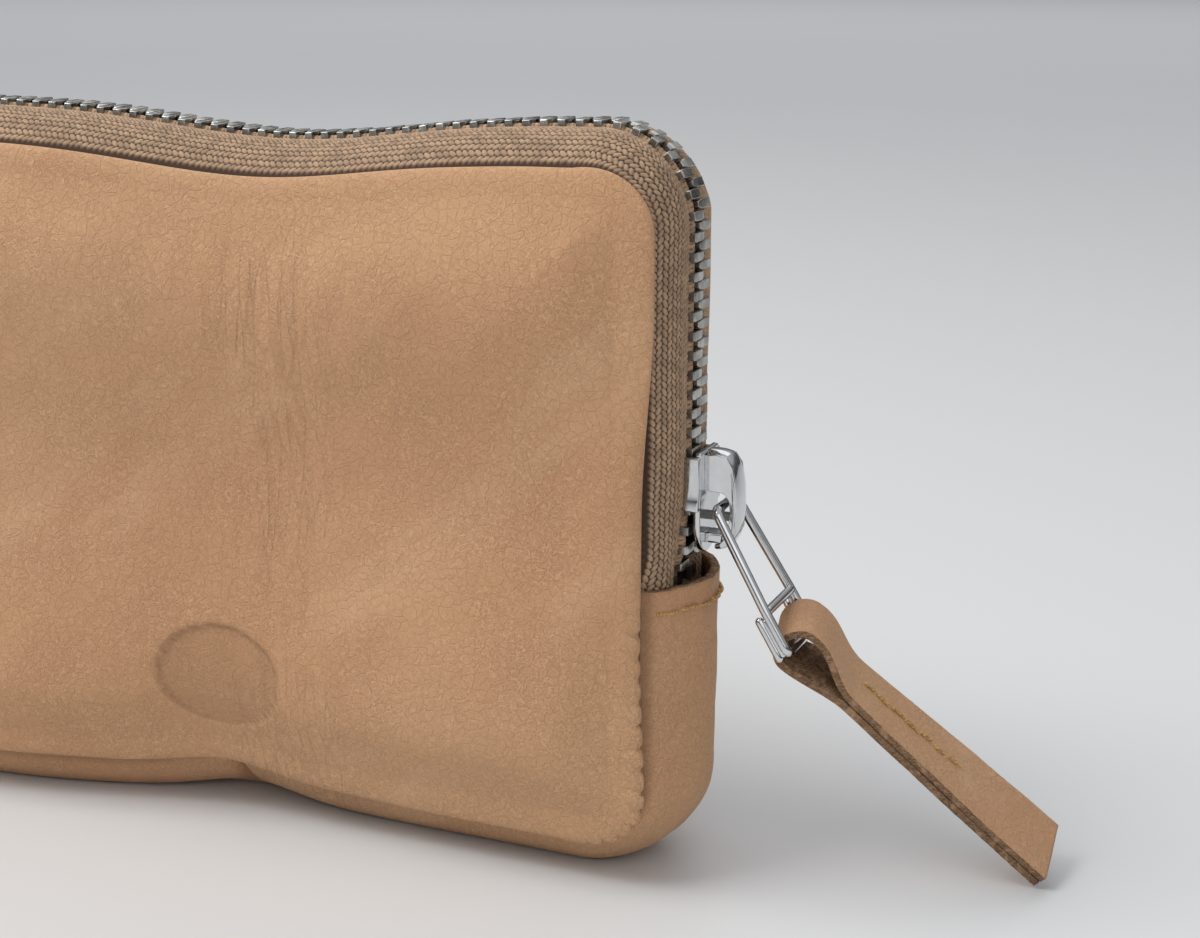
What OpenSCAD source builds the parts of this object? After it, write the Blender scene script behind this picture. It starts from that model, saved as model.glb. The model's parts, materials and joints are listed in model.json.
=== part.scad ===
// Zippered pouch in soft leather: two puffed panels, a leather gusset along the
// bottom and lower sides, and a metal zip that runs up one side, over the top
// and down the other. X is the width, -Y the front, +Z up. The origin is on the
// table under the middle of the bottom. The pouch bends gently backwards at x = 0.

/* [Pouch] */
// Half the width, out to the zip's centre line
half_width = 65; // [60:0.5:72]
// Height of the zip's centre line above the table
top_height = 97; // [90:0.5:110]
// Corner radius of the zip at the top
top_corner = 11.7; // [10:0.1:16]
// Corner radius of the gusset at the bottom
bottom_corner = 13; // [11:0.5:18]
// How far the middle of the pouch is pushed back by its fold
fold_depth = 4.4; // [0:0.5:7]
// How far the zip sags at the top
top_sag = 3.4; // [0:0.1:5]
// Where along the width the sag is deepest
sag_place = 7; // [-10:1:10]
// Thickness of the leather
leather = 1.2; // [1:0.1:1.4]
// How far the panels puff out past their seams
panel_crown = 4.2; // [2:0.1:6]
// Height at which the gusset's two ends finish
gusset_end = 40; // [36:1:41]

/* [Zip] */
// Distance between neighbouring teeth of one row
tooth_pitch = 2.5; // [2.4:0.05:2.8]
// Size of a tooth along the zip
tooth_width = 1.05; // [0.9:0.05:1.1]
// Thickness of a tooth, outside to inside
tooth_height = 2.6; // [2.4:0.1:2.8]
// Half the width of the closed chain
chain_half = 2.95; // [2.8:0.05:3]
// Distance from the zip's centre line to each seam
seam_half = 11.3; // [11:0.1:12]
// Thickness of the woven tape
tape = 0.7; // [0.5:0.1:0.8]

/* [Slider and pull] */
// Height of the slider's middle when the zip is closed
slider_height = 50; // [49:0.2:52]
// Angle of the pull ring out from the side
ring_angle = 31; // [20:0.5:40]
// Length of the ring from its crown pin to its end bar
ring_length = 20.2; // [19:0.1:23]
// Radius of the ring's bars
bar_r = 0.65; // [0.6:0.05:0.7]
// Length of the leather tab from the end bar to its tip
tab_length = 44.3; // [38:0.1:46]
// Width of the leather tab at its tip
tab_width = 10.5; // [9:0.5:10.5]

/* [Hidden] */

$fn = 24;
leather_color = "#be916a";
tape_color = "#96735a";
metal_color = "#b9b9b4";
thread_color = "#b98a45";

// Depth of the seams inward from the zip's centre line, at the sides, top and bottom
side_drop = 2.4;
top_drop = 4.2;
bottom_drop = 6.3;
// How far the gusset's sides bulge out between their seams
side_bulge = 2.8;
// The gusset's bottom is flat this far each side of its middle
flat_half = 5.5;
// Gap between a panel's rim and the tape or gusset that it is sewn to
seam_gap = 0.3;
sag_spread = 25;
fold_round = 6;
// The zip's lower ends dip inward here to pass behind the gusset
dip_start = gusset_end + 5;
dip_depth = 1.6;
dip_run = 6;
tape_tuck = 8;
// Spread of each row of teeth below the slider's divider
parting = 1.7;
tooth_overlap = 0.7;
bead_r = 0.8;
bead_place = 2.1;
// Room between the bead cord and the metal that grips it
bead_room = 0.22;

// ---- The outline that the zip and gusset follow --------------------------

straight = half_width - top_corner;
base_straight = half_width - bottom_corner;
bottom_z = leather / 2;
side_low = bottom_z + bottom_corner;
side_high = top_height - top_corner;
side_run = side_high - side_low;
top_arc = top_corner * PI / 2;
bottom_arc = bottom_corner * PI / 2;
// Distances along the outline at which each stretch begins
s_top_right = side_run;
s_top = s_top_right + top_arc;
s_top_left = s_top + 2 * straight;
s_left = s_top_left + top_arc;
s_bottom_left = s_left + side_run;
s_bottom = s_bottom_left + bottom_arc;
s_bottom_right = s_bottom + 2 * base_straight;
outline_length = s_bottom_right + bottom_arc;
s_gusset_right = gusset_end - side_low;
s_gusset_left = s_left + side_high - gusset_end;

function smooth(t) = let (c = max(0, min(1, t))) c * c * (3 - 2 * c);
function arc_point(cx, cz, r, angle) = [cx + r * cos(angle), cz + r * sin(angle)];

// A point of the flat outline, anticlockwise from the foot of the right side
function flat_point(s0) =
    let (s = (s0 + outline_length) % outline_length)
    s < s_top_right ? [half_width, side_low + s]
    : s < s_top ? arc_point(straight, side_high, top_corner, (s - s_top_right) / top_arc * 90)
    : s < s_top_left ? [straight - (s - s_top), top_height]
    : s < s_left ? arc_point(-straight, side_high, top_corner, 90 + (s - s_top_left) / top_arc * 90)
    : s < s_bottom_left ? [-half_width, side_high - (s - s_left)]
    : s < s_bottom ? arc_point(-base_straight, side_low, bottom_corner,
                               180 + (s - s_bottom_left) / bottom_arc * 90)
    : s < s_bottom_right ? [-base_straight + (s - s_bottom), bottom_z]
    : arc_point(base_straight, side_low, bottom_corner, 270 + (s - s_bottom_right) / bottom_arc * 90);

function fold(x) = fold_depth * (0.5 - (sqrt(x * x + fold_round * fold_round) - fold_round) / half_width);
function sag(x, z) = top_sag * exp(-pow((x - sag_place) / sag_spread, 2)) * smooth((z - 30) / 50);
function shaped(x, y, z) = [x, y + fold(x), z - sag(x, z)];
function outline_point(s) = let (p = flat_point(s)) shaped(p[0], 0, p[1]);

// Frame on the outline: normal outwards, across towards the back, and tangent
function unit(v) = v / norm(v);
function tangent(s) = unit(outline_point(s + 0.2) - outline_point(s - 0.2));
function across(s) = let (t = tangent(s)) unit([0, 1, 0] - t[1] * t);
function outward(s) = cross(across(s), tangent(s));
function place(s, u, v) = outline_point(s) + u * outward(s) + v * across(s);
module on_outline(s) {
    n = outward(s);
    b = across(s);
    t = tangent(s);
    p = outline_point(s);
    multmatrix([[n[0], b[0], t[0], p[0]], [n[1], b[1], t[1], p[1]], [n[2], b[2], t[2], p[2]]])
        children();
}

// How far below the outline the seams lie
function floorward(s) = let (n = outward(s)) n[2] < 0 ? n[2] * n[2] : 0;
function drop(s) =
    let (n = outward(s))
    side_drop + ((n[2] < 0 ? bottom_drop : top_drop) - side_drop) * n[2] * n[2];

// ---- Sweeping ------------------------------------------------------------

// Closed solid through a row of loops that have the same number of points
module sweep(loops) {
    m = len(loops[0]);
    last = len(loops) - 1;
    sides = [for (i = [0 : last - 1], j = [0 : m - 1])
        let (k = (j + 1) % m, a = i * m, b = (i + 1) * m)
        each [[a + j, b + j, b + k], [a + j, b + k, a + k]]];
    start_middle = (last + 1) * m;
    caps = [for (j = [0 : m - 1]) let (k = (j + 1) % m)
        each [[start_middle, j, k], [start_middle + 1, last * m + k, last * m + j]]];
    polyhedron(concat([for (l = loops) each l], [middle(loops[0]), middle(loops[last])]),
               concat(sides, caps));
}
function middle(loop) = [for (c = [0 : 2]) mean([for (p = loop) p[c]])];
function mean(list) = [for (v = list) 1] * list / len(list);
function steps(a, b, n) = [for (i = [0 : n - 1]) a + (b - a) * i / n];

// ---- Leather -------------------------------------------------------------

rim_points = 60;
panel_rings = [1, 0.985, 0.95, 0.88, 0.76, 0.5, 0.15];
panel_centre = [0, (top_height + bottom_z) / 2];
function crown(t) = panel_crown * pow(1 - pow(t, 6), 0.55);
function rim_point(s) =
    let (p = flat_point(s), q = flat_point(s + 0.1) - flat_point(s - 0.1), n = unit([q[1], -q[0]]))
    p - (drop(s) + seam_gap) * n;
function panel_loop(t, y, turn) = [for (i = [0 : rim_points - 1])
    let (r = rim_point(turn * i * outline_length / rim_points),
         p = panel_centre + t * (r - panel_centre))
    shaped(p[0], y, p[1])];
module panel(side) {
    face = seam_half + seam_gap;
    inner = [for (i = [len(panel_rings) - 1 : -1 : 0]) panel_rings[i]];
    sweep(concat(
        [for (t = inner) panel_loop(t, side * (face + leather + crown(t)), -side)],
        [for (t = panel_rings) panel_loop(t, side * (face + crown(t)), -side)]));
}
module front_panel() { color(leather_color) panel(-1); }
module back_panel() { color(leather_color) panel(1); }

gusset_across = [-1, -0.84, -0.66, -0.48, -0.18, 0.18, 0.48, 0.66, 0.84, 1];
function gusset_sink(s, v) =
    let (g = floorward(s), f = flat_half * g, e = max(0, abs(v) - f) / (seam_half - f))
    drop(s) * e * e - side_bulge * (1 - g) * (1 - pow(v / seam_half, 2));
function gusset_loop(s) = concat(
    [for (a = gusset_across) place(s, leather / 2 - gusset_sink(s, a * seam_half), a * seam_half)],
    [for (i = [len(gusset_across) - 1 : -1 : 0]) let (v = gusset_across[i] * seam_half)
        place(s, -leather / 2 - gusset_sink(s, v), v)]);
module gusset() {
    stations = concat(steps(s_gusset_left, s_bottom_left, 3), steps(s_bottom_left, s_bottom, 7),
                      steps(s_bottom, s_bottom_right, 14), steps(s_bottom_right, outline_length, 7),
                      steps(outline_length, outline_length + s_gusset_right, 3),
                      [outline_length + s_gusset_right]);
    color(leather_color) sweep([for (s = stations) gusset_loop(s)]);
}

// ---- Zip -----------------------------------------------------------------

zip_start = s_gusset_right - tape_tuck;
zip_end = s_gusset_left + tape_tuck;
function height_near_end(s) = s < s_top ? side_low + s : side_high - (s - s_left);
function dip(s) = -dip_depth * smooth((dip_start - height_near_end(s)) / dip_run);
function spread(s) = s > s_top ? 0
    : let (z = side_low + s)
      parting * smooth((slider_height + 1.1 - z) / 5.5) * (1 - 0.6 * smooth((gusset_end + 4 - z) / 5));
zip_stations = concat(steps(zip_start, s_top_right - 26, 16), steps(s_top_right - 26, s_top_right, 2),
                      steps(s_top_right, s_top, 8), steps(s_top, s_top_left, 18),
                      steps(s_top_left, s_left, 8), steps(s_left, s_left + 26, 2),
                      steps(s_left + 26, zip_end, 9), [zip_end]);
function tape_sink(s, v) = drop(s) * pow(max(0, v - 2.5) / (seam_half - 2.5), 1.6);
function tape_loop(s, side) =
    let (inner = bead_place + bead_r + 0.05 + spread(s),
         vs = [inner, inner + 1.4, 6.5, 9, seam_half],
         edge = [for (v = vs) [tape / 2 - tape_sink(s, v) + dip(s), side * v]],
         back = [for (i = [4 : -1 : 0]) [edge[i][0] - tape, edge[i][1]]],
         loop = concat(edge, back))
    [for (i = [0 : 9]) let (q = loop[side > 0 ? i : 9 - i]) place(s, q[0], q[1])];
module tape_side(side) { sweep([for (s = zip_stations) tape_loop(s, side)]); }
module front_tape() { color(tape_color) tape_side(-1); }
module back_tape() { color(tape_color) tape_side(1); }

module bead_cord(side) {
    sweep([for (s = zip_stations) [for (i = [0 : 7])
        place(s, dip(s) + bead_r * sin(45 * i), side * (bead_place + spread(s)) + bead_r * cos(45 * i))]]);
}
module front_bead_cord() { color(tape_color) bead_cord(-1); }
module back_bead_cord() { color(tape_color) bead_cord(1); }

first_tooth = s_gusset_right + 1.6;
tooth_count = floor((s_gusset_left - 1.6 - first_tooth) / tooth_pitch);
// One tooth of the back row: a head that meshes, and two legs that grip the bead
module tooth() {
    difference() {
        translate([-tooth_height / 2, -tooth_overlap, -tooth_width / 2])
            cube([tooth_height, chain_half + tooth_overlap, tooth_width]);
        translate([-bead_r - bead_room, bead_place - bead_r - bead_room, -tooth_width])
            cube([2 * (bead_r + bead_room), chain_half, 2 * tooth_width]);
    }
}
module teeth(side) {
    offset_along = side > 0 ? tooth_pitch / 2 : 0;
    for (i = [0 : tooth_count - 1]) {
        s = first_tooth + offset_along + i * tooth_pitch;
        on_outline(s) translate([dip(s), side * spread(s), 0])
            mirror([0, side > 0 ? 0 : 1, 0]) tooth();
    }
}
module front_teeth() { color(metal_color) teeth(-1); }
module back_teeth() { color(metal_color) teeth(1); }

stop_length = 1.8;
stop_below = 0.6;
// A stop clipped round the bead cord of one side
module stop_clip(s, side) {
    on_outline(s) translate([dip(s), side * (bead_place + spread(s)), 0]) difference() {
        cube([tooth_height, 2.2, stop_length], center = true);
        cube([2 * (bead_r + bead_room), 2 * (bead_r + bead_room), stop_length + 1], center = true);
        translate([0, side * 1, 0]) cube([tape + 0.3, 2, stop_length + 1], center = true);
    }
}
module top_stops() {
    s = s_gusset_right - stop_below;
    color(metal_color) {
        stop_clip(s, -1);
        stop_clip(s, 1);
    }
}
module bottom_stop() {
    s = s_gusset_left + stop_below;
    plate = tooth_height / 2 - bead_r - bead_room;
    color(metal_color) on_outline(s) translate([dip(s), 0, 0]) {
        for (side = [-1, 1]) translate([side * (tooth_height - plate) / 2, 0, 0])
            cube([plate, 2 * chain_half, stop_length], center = true);
        cube([tooth_height, 2 * (bead_place - bead_r - bead_room), stop_length], center = true);
    }
}

// ---- Slider --------------------------------------------------------------

plate = 0.9;
channel = 3.5;
plate_out = channel / 2 + plate;
slider_half = 6.8;
nose_r = 3.9;
flange_in = 3.6;
flange_out = 4.5;
flange_low = -0.7;
pin_u = 4.9;
pin_w = -0.3;
pawl_w = -2;
pawl_half = 0.5;
pawl_slot = 0.75;

side_y = fold(half_width);
module at_slider() { translate([half_width, side_y, slider_height]) children(); }
module slab(u0, u1, v0, v1, w0, w1) { translate([u0, v0, w0]) cube([u1 - u0, v1 - v0, w1 - w0]); }
module slider_plate(u) {
    slab(u, u + plate, -nose_r + 0.1, nose_r - 0.1, nose_r - slider_half, slider_half);
    translate([u, 0, nose_r - slider_half]) rotate([0, 90, 0]) cylinder(h = plate, r = nose_r);
}
module divider() {
    translate([-channel / 2 - 0.2, 0, 0]) rotate([90, 0, 90]) linear_extrude(channel + 0.4)
        polygon([[0, -3.2], [-0.8, -5], [-0.8, -6.4], [0.8, -6.4], [0.8, -5]]);
}
module slider_body() {
    color(metal_color) at_slider() {
        difference() {
            slider_plate(channel / 2);
            slab(channel / 2 - 1, plate_out + 1, -pawl_slot, pawl_slot,
                 pawl_w - pawl_slot, pawl_w + pawl_slot);
        }
        slider_plate(-plate_out);
        divider();
        for (side = [-1, 1]) mirror([0, side > 0 ? 0 : 1, 0]) {
            slab(0.5, plate_out, flange_in, flange_out, flange_low, slider_half - 0.5);
            slab(-plate_out, -1.1, flange_in, flange_out, flange_low, slider_half - 0.5);
        }
        slab(plate_out - 0.2, 5.6, -1.9, 1.9, 2.6, 4.6);
        slab(plate_out - 0.2, 5, -1.5, 1.5, -5.4, -4);
    }
}
cap_half = 2.4;
module slider_cap() {
    outer = [[2.65, 6.9], [4.4, 6.9], [5.8, 6.5], [6.7, 5], [7.2, 2],
             [7.3, -1], [7.1, -3.6], [6.4, -5.3], [5.2, -6.2], [3.9, -6.4]];
    inner = [[3.9, -5.8], [5, -5.6], [5.9, -4.8], [6.5, -3.2], [6.7, -1],
             [6.6, 2], [6.1, 4.6], [5.4, 5.9], [4.2, 6.3], [2.65, 6.3]];
    color(metal_color) at_slider() translate([0, cap_half, 0]) rotate([90, 0, 0])
        linear_extrude(2 * cap_half) polygon(concat(outer, inner));
}
module lock_spring() {
    profile = [[5.7, 4.4], [5.7, -2.6], [5.95, -2.6], [5.95, 4.4]];
    color(metal_color) at_slider() translate([0, 0.8, 0]) rotate([90, 0, 0])
        linear_extrude(1.6) polygon(profile);
}
module lock_pawl() {
    color(metal_color) at_slider()
        slab(1.65, 5.65, -pawl_half, pawl_half, pawl_w - pawl_half, pawl_w + pawl_half);
}

// ---- Pull ----------------------------------------------------------------

pin_half = 4.3;
end_half = 5.7;
cross_at = 14.3;
rib = 1.3;
pin_point = [half_width + pin_u, side_y, slider_height + pin_w];
bar_point = pin_point + ring_length * [sin(ring_angle), 0, -cos(ring_angle)];

module rod(a, b, r) {
    d = b - a;
    translate(a) rotate([0, acos(d[2] / norm(d)), atan2(d[1], d[0])]) cylinder(h = norm(d), r = r);
}
module knuckle(p) { translate(p) sphere(bar_r + 0.03); }
module pull_ring() {
    color(metal_color) translate(pin_point) rotate([0, -ring_angle, 0]) {
        for (bar = [[0, pin_half], [-cross_at, end_half], [-ring_length, end_half]])
            rod([0, -bar[1], bar[0]], [0, bar[1], bar[0]], bar_r);
        for (side = [-1, 1]) {
            top = [0, side * pin_half, 0];
            cross = [0, side * end_half, -cross_at];
            foot = [0, side * end_half, -ring_length];
            step = [-rib, 0, 0];
            rib_top = cross + step - [0, 0, 0.6];
            rod(top, cross, bar_r);
            rod(cross, foot, bar_r);
            rod(rib_top, foot + step, bar_r - 0.05);
            slab(-rib, 0, side * end_half - 0.35, side * end_half + 0.35, -ring_length + 0.2, -cross_at - 1);
            knuckle(top);
            knuckle(cross);
            knuckle(foot);
            translate(rib_top) sphere(bar_r);
            translate(foot + step) sphere(bar_r);
        }
    }
}

// The tab is one strip: from its tip up the lower layer, round the fold above
// the end bar, and back down the upper layer. It turns gently along its length.
tab_direction = unit([31.2, 11.3, -29.4]);
tab_side = unit([0, 1, 0] - tab_direction[1] * tab_direction);
tab_up = cross(tab_direction, tab_side);
tab_turn = 14;
tab_leather = 1.15;
tab_gap = 0.05;
loop_back = 3.4;
loop_half = 1.9;
loop_end = 9;
fold_half_width = 4.5;
// The fold sits this far to the back in the ring
fold_shift = 0.45;

function tab_open(l) = tab_gap + loop_half * (1 - smooth((l + 0.5) / (loop_end + 0.5)));
function tab_half(l) = fold_half_width + (tab_width / 2 - fold_half_width) * smooth(l / 14);
function tab_place(l, n, w) =
    let (a = tab_turn * smooth(l / tab_length))
    bar_point + [0, fold_shift, 0] + l * tab_direction + n * (cos(a) * tab_up - sin(a) * tab_side)
        + w * (cos(a) * tab_side + sin(a) * tab_up);
tab_lengths = [tab_length, 36, 28, 20, 14, loop_end, 7, 5, 3, 1];
fold_centre = -loop_back + tab_leather + loop_half;
function fold_at(r, i) = [fold_centre - r * sin(i * 20), -r * cos(i * 20)];
// Points of the strip's inner and outer faces along its route, as [along, up]
tab_inside = concat([for (l = tab_lengths) [l, -tab_open(l)]],
                    [for (i = [0 : 9]) fold_at(loop_half + tab_gap, i)],
                    [for (i = [len(tab_lengths) - 1 : -1 : 0]) let (l = tab_lengths[i]) [l, tab_open(l)]]);
tab_outside = concat([for (l = tab_lengths) [l, -tab_open(l) - tab_leather]],
                     [for (i = [0 : 9]) fold_at(loop_half + tab_gap + tab_leather, i)],
                     [for (i = [len(tab_lengths) - 1 : -1 : 0])
                         let (l = tab_lengths[i]) [l, tab_open(l) + tab_leather]]);
module pull_tab() {
    color(leather_color) sweep([for (i = [0 : len(tab_inside) - 1])
        let (p = tab_inside[i], q = tab_outside[i], w = tab_half(max(0, p[0])))
        [tab_place(p[0], p[1], -w), tab_place(p[0], p[1], w),
         tab_place(q[0], q[1], w), tab_place(q[0], q[1], -w)]]);
}

// ---- Thread --------------------------------------------------------------

thread_r = 0.22;
stitch_pitch = 3;
stitch_length = 2.2;
module stitch(a, b) {
    d = b - a;
    translate(a) rotate([0, acos(d[2] / norm(d)), atan2(d[1], d[0])])
        cylinder(h = norm(d), r = thread_r, $fn = 16);
}
tab_stitches = 7;
module pull_tab_stitch() {
    lift = tab_gap + tab_leather + thread_r + 0.03;
    color(thread_color) for (i = [0 : tab_stitches - 1], up = [-1, 1]) {
        l = 11.5 + i * 2.6;
        stitch(tab_place(l, up * lift, 0), tab_place(l + stitch_length, up * lift, 0));
    }
}
// Stitches lie in the groove between a panel's rim and the zip or gusset
seam_lift = 0.35;
seam_thread = seam_half + 0.6;
module seam_stitch(side) {
    count = floor(outline_length / stitch_pitch);
    pitch = outline_length / count;
    for (i = [0 : count - 1]) {
        s = i * pitch;
        e = s + stitch_length;
        stitch(place(s, seam_lift - drop(s), side * seam_thread),
               place(e, seam_lift - drop(e), side * seam_thread));
    }
}
module front_seam_stitch() { color(thread_color) seam_stitch(-1); }
module back_seam_stitch() { color(thread_color) seam_stitch(1); }

end_margin = 3;
end_stitches = 7;
module end_stitch(s) {
    lift = leather / 2 + thread_r + 0.03;
    for (i = [0 : end_stitches - 1]) {
        v = (i - end_stitches / 2) * stitch_pitch + 0.4;
        stitch(place(s, lift - gusset_sink(s, v), v),
               place(s, lift - gusset_sink(s, v + stitch_length), v + stitch_length));
    }
}
module right_end_stitch() { color(thread_color) end_stitch(s_gusset_right - end_margin); }
module left_end_stitch() { color(thread_color) end_stitch(s_gusset_left + end_margin); }

front_panel();
back_panel();
gusset();
front_tape();
back_tape();
front_bead_cord();
back_bead_cord();
front_teeth();
back_teeth();
top_stops();
bottom_stop();
slider_body();
slider_cap();
lock_spring();
lock_pawl();
pull_ring();
pull_tab();
pull_tab_stitch();
front_seam_stitch();
back_seam_stitch();
right_end_stitch();
left_end_stitch();
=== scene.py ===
"""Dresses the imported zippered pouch: soft leather, woven tape, metal teeth, slider, ring and tab."""

import json
import math

import bmesh
import bpy
import numpy as np
from bpy.props import FloatProperty, FloatVectorProperty, IntProperty, PointerProperty
from mathutils import Matrix, Vector


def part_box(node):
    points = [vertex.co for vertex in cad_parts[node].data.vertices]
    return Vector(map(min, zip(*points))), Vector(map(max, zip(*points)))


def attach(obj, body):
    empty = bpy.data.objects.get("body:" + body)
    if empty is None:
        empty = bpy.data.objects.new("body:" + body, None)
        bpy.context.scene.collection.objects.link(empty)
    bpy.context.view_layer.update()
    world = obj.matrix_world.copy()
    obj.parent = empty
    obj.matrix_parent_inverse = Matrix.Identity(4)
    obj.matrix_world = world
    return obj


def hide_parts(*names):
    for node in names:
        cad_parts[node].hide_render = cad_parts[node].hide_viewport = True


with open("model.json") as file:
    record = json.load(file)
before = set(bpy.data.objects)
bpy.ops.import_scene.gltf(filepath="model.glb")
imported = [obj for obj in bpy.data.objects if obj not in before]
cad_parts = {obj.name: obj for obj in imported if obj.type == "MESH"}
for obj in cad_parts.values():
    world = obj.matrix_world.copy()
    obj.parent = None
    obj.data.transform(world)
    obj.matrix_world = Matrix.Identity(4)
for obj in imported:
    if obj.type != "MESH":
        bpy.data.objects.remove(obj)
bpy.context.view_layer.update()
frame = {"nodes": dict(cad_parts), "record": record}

bl_info = {
    "name": "Zippered pouch",
    "version": (1, 0, 0),
    "blender": (4, 5, 0),
    "location": "3D View > Sidebar > Pouch",
    "description": "Builds the leather, zip and pull of a small pouch round its CAD frame",
    "category": "Add Mesh",
}

# ---- Places taken from the frame -------------------------------------------

MM = 0.001
LEATHER = 1.2 * MM
TOOTH_HEIGHT = 2.6 * MM
PLATE = 0.9 * MM
CHANNEL = 3.5 * MM
SLIDER_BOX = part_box("slider_body")
HALF_WIDTH = SLIDER_BOX[0][0] + CHANNEL / 2 + PLATE
TOP_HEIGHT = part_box("front_teeth")[1][2] - TOOTH_HEIGHT / 2
SLIDER = np.array([
    HALF_WIDTH,
    (SLIDER_BOX[0][1] + SLIDER_BOX[1][1]) / 2,
    (SLIDER_BOX[0][2] + SLIDER_BOX[1][2]) / 2,
])
JOINTS = {j["name"]: j for j in frame["record"]["behaviour"]["joints"]}
PIN = np.array(JOINTS["pull_swing"]["pos_m"])
END_BAR = np.array(JOINTS["tab_swing"]["pos_m"])


# ---- Settings ----------------------------------------------------------------


def length(name, description, metres):
    """A setting for a length."""
    return FloatProperty(name=name, description=description, default=metres, unit="LENGTH")


def colour(name, description, rgb):
    """A setting for a colour."""
    return FloatVectorProperty(name=name, description=description, default=rgb, subtype="COLOR")


class PouchShape(bpy.types.PropertyGroup):
    """Sizes of the leather body, the same as the frame's."""

    top_corner: length("Top corner", "Corner radius of the zip", 0.0117)
    bottom_corner: length("Bottom corner", "Corner radius of the gusset", 0.013)
    fold_depth: length("Fold depth", "How far the middle is pushed back", 0.0044)
    top_sag: length("Top sag", "How far the zip sags at the top", 0.0034)
    sag_place: length("Sag place", "Where the sag is deepest", 0.007)
    crown: length("Crown", "How far a panel puffs out", 0.0042)
    crease: length("Creases", "Depth of the upright creases", 0.00032)
    side_bulge: length("Side bulge", "How far the gusset's sides puff out", 0.0028)
    seam_half: length("Seam", "Distance from the zip's middle to a seam", 0.0113)
    gusset_end: length("Gusset end", "Height where the gusset finishes", 0.040)


class ZipShape(bpy.types.PropertyGroup):
    """Sizes of the zip, the same as the frame's."""

    pitch: length("Pitch", "Distance between teeth of one row", 0.0025)
    tooth: length("Tooth", "Size of a tooth along the zip", 0.00105)
    chain_half: length("Half chain", "Half the closed chain's width", 0.00295)
    tape: length("Tape", "Thickness of the tape", 0.0007)
    yarn: length("Yarn", "Width of a yarn in the tape", 0.00056)
    bead: length("Bead", "Radius of the bead cord", 0.0008)
    bead_place: length("Bead place", "Bead cord from the middle", 0.0021)


class PullShape(bpy.types.PropertyGroup):
    """Sizes of the pull ring and its leather tab."""

    bar: length("Bar", "Radius of the ring's bars", 0.00065)
    tab_length: length("Tab length", "End bar to the tab's tip", 0.0443)
    tab_width: length("Tab width", "Width of the tab at its tip", 0.0105)
    stitches: IntProperty(name="Stitches", description="Stitches along the tab", default=7, min=3, max=9)


class PouchColours(bpy.types.PropertyGroup):
    """Colours of the leather, tape, thread and metal."""

    leather: colour("Leather", "Tan face", (0.600, 0.345, 0.185))
    # Also the base of the painted shade in the wrinkles' creases and along the gusset's seams
    leather_dark_and_shade: colour("Leather, deep", "Redder patches", (0.555, 0.300, 0.155))
    leather_pale: colour("Leather, rubbed", "Paler patches", (0.680, 0.420, 0.245))
    raw_edge: colour("Raw edge", "Cut edge and flesh side", (0.300, 0.180, 0.105))
    tape: colour("Tape", "Yarn of the tape", (0.400, 0.262, 0.160))
    # The gap colour is painted shade between the yarns, and under the panels' edges
    tape_gap_shade: colour("Tape gaps", "Between the yarns", (0.060, 0.032, 0.018))
    thread: colour("Thread", "Golden thread", (0.560, 0.325, 0.105))
    nickel: colour("Nickel", "Teeth", (0.500, 0.490, 0.460))
    chrome: colour("Chrome", "Slider and ring", (0.700, 0.705, 0.715))
    floor: colour("Floor", "Pale floor", (0.700, 0.712, 0.720))


SETTINGS = {
    "pouch_shape": PouchShape,
    "pouch_zip": ZipShape,
    "pouch_pull": PullShape,
    "pouch_colours": PouchColours,
}


# ---- The outline that zip and gusset follow ------------------------------------

SIDE_DROP = 2.4 * MM
TOP_DROP = 4.2 * MM
BOTTOM_DROP = 6.3 * MM
PINCH = 1.5 * MM
PINCH_SPREAD = 9 * MM
FLAT_HALF = 5.5 * MM
SEAM_GAP = 0.3 * MM
SAG_SPREAD = 25 * MM
SAG_FROM = 30 * MM
SAG_FADE = 50 * MM
FOLD_ROUND = 6 * MM
# The lower left comes forward: how far, over what width, below what height and over what height
FOOT_FORWARD = 4 * MM
FOOT_WIDTH = 36 * MM
FOOT_TOP = 36 * MM
FOOT_FADE = 34 * MM
TANGENT_STEP = 0.2 * MM
DIP_ABOVE = 5 * MM
DIP_DEPTH = 1.6 * MM
DIP_RUN = 6 * MM
TAPE_TUCK = 8 * MM
# The rows of teeth part below the slider's divider, and draw together again at the gusset
PARTING = 1.7 * MM
PARTING_FROM = 1.1 * MM
PARTING_RUN = 5.5 * MM
CLOSING_SHARE = 0.6
CLOSING_ABOVE = 4 * MM
CLOSING_RUN = 5 * MM
BOTTOM_Z = LEATHER / 2


def smooth(t):
    """Eases from 0 to 1."""
    c = np.clip(t, 0.0, 1.0)
    return c * c * (3 - 2 * c)


def bell(x, centre, spread):
    """A bump that is 1 at its centre and fades to both sides."""
    return np.exp(-(((x - centre) / spread) ** 2))


def unit(v):
    """Vectors of length one."""
    return v / np.linalg.norm(v, axis=-1, keepdims=True)


def ripple(x, z, size, seed, octaves=3):
    """Smooth seeded noise from -1 to 1, from waves in several directions."""
    draw = np.random.default_rng(seed)
    total = np.zeros(np.broadcast(x, z).shape)
    weight = 1.0
    for _ in range(octaves):
        part = np.zeros_like(total)
        for _ in range(6):
            turn, phase = draw.uniform(0, 2 * np.pi, 2)
            k = 2 * np.pi / size * draw.uniform(0.6, 1.3)
            part += np.sin(k * (x * np.cos(turn) + z * np.sin(turn)) + phase)
        total += weight * part / 4
        weight *= 0.5
        size *= 0.5
    return total / 1.75


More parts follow.
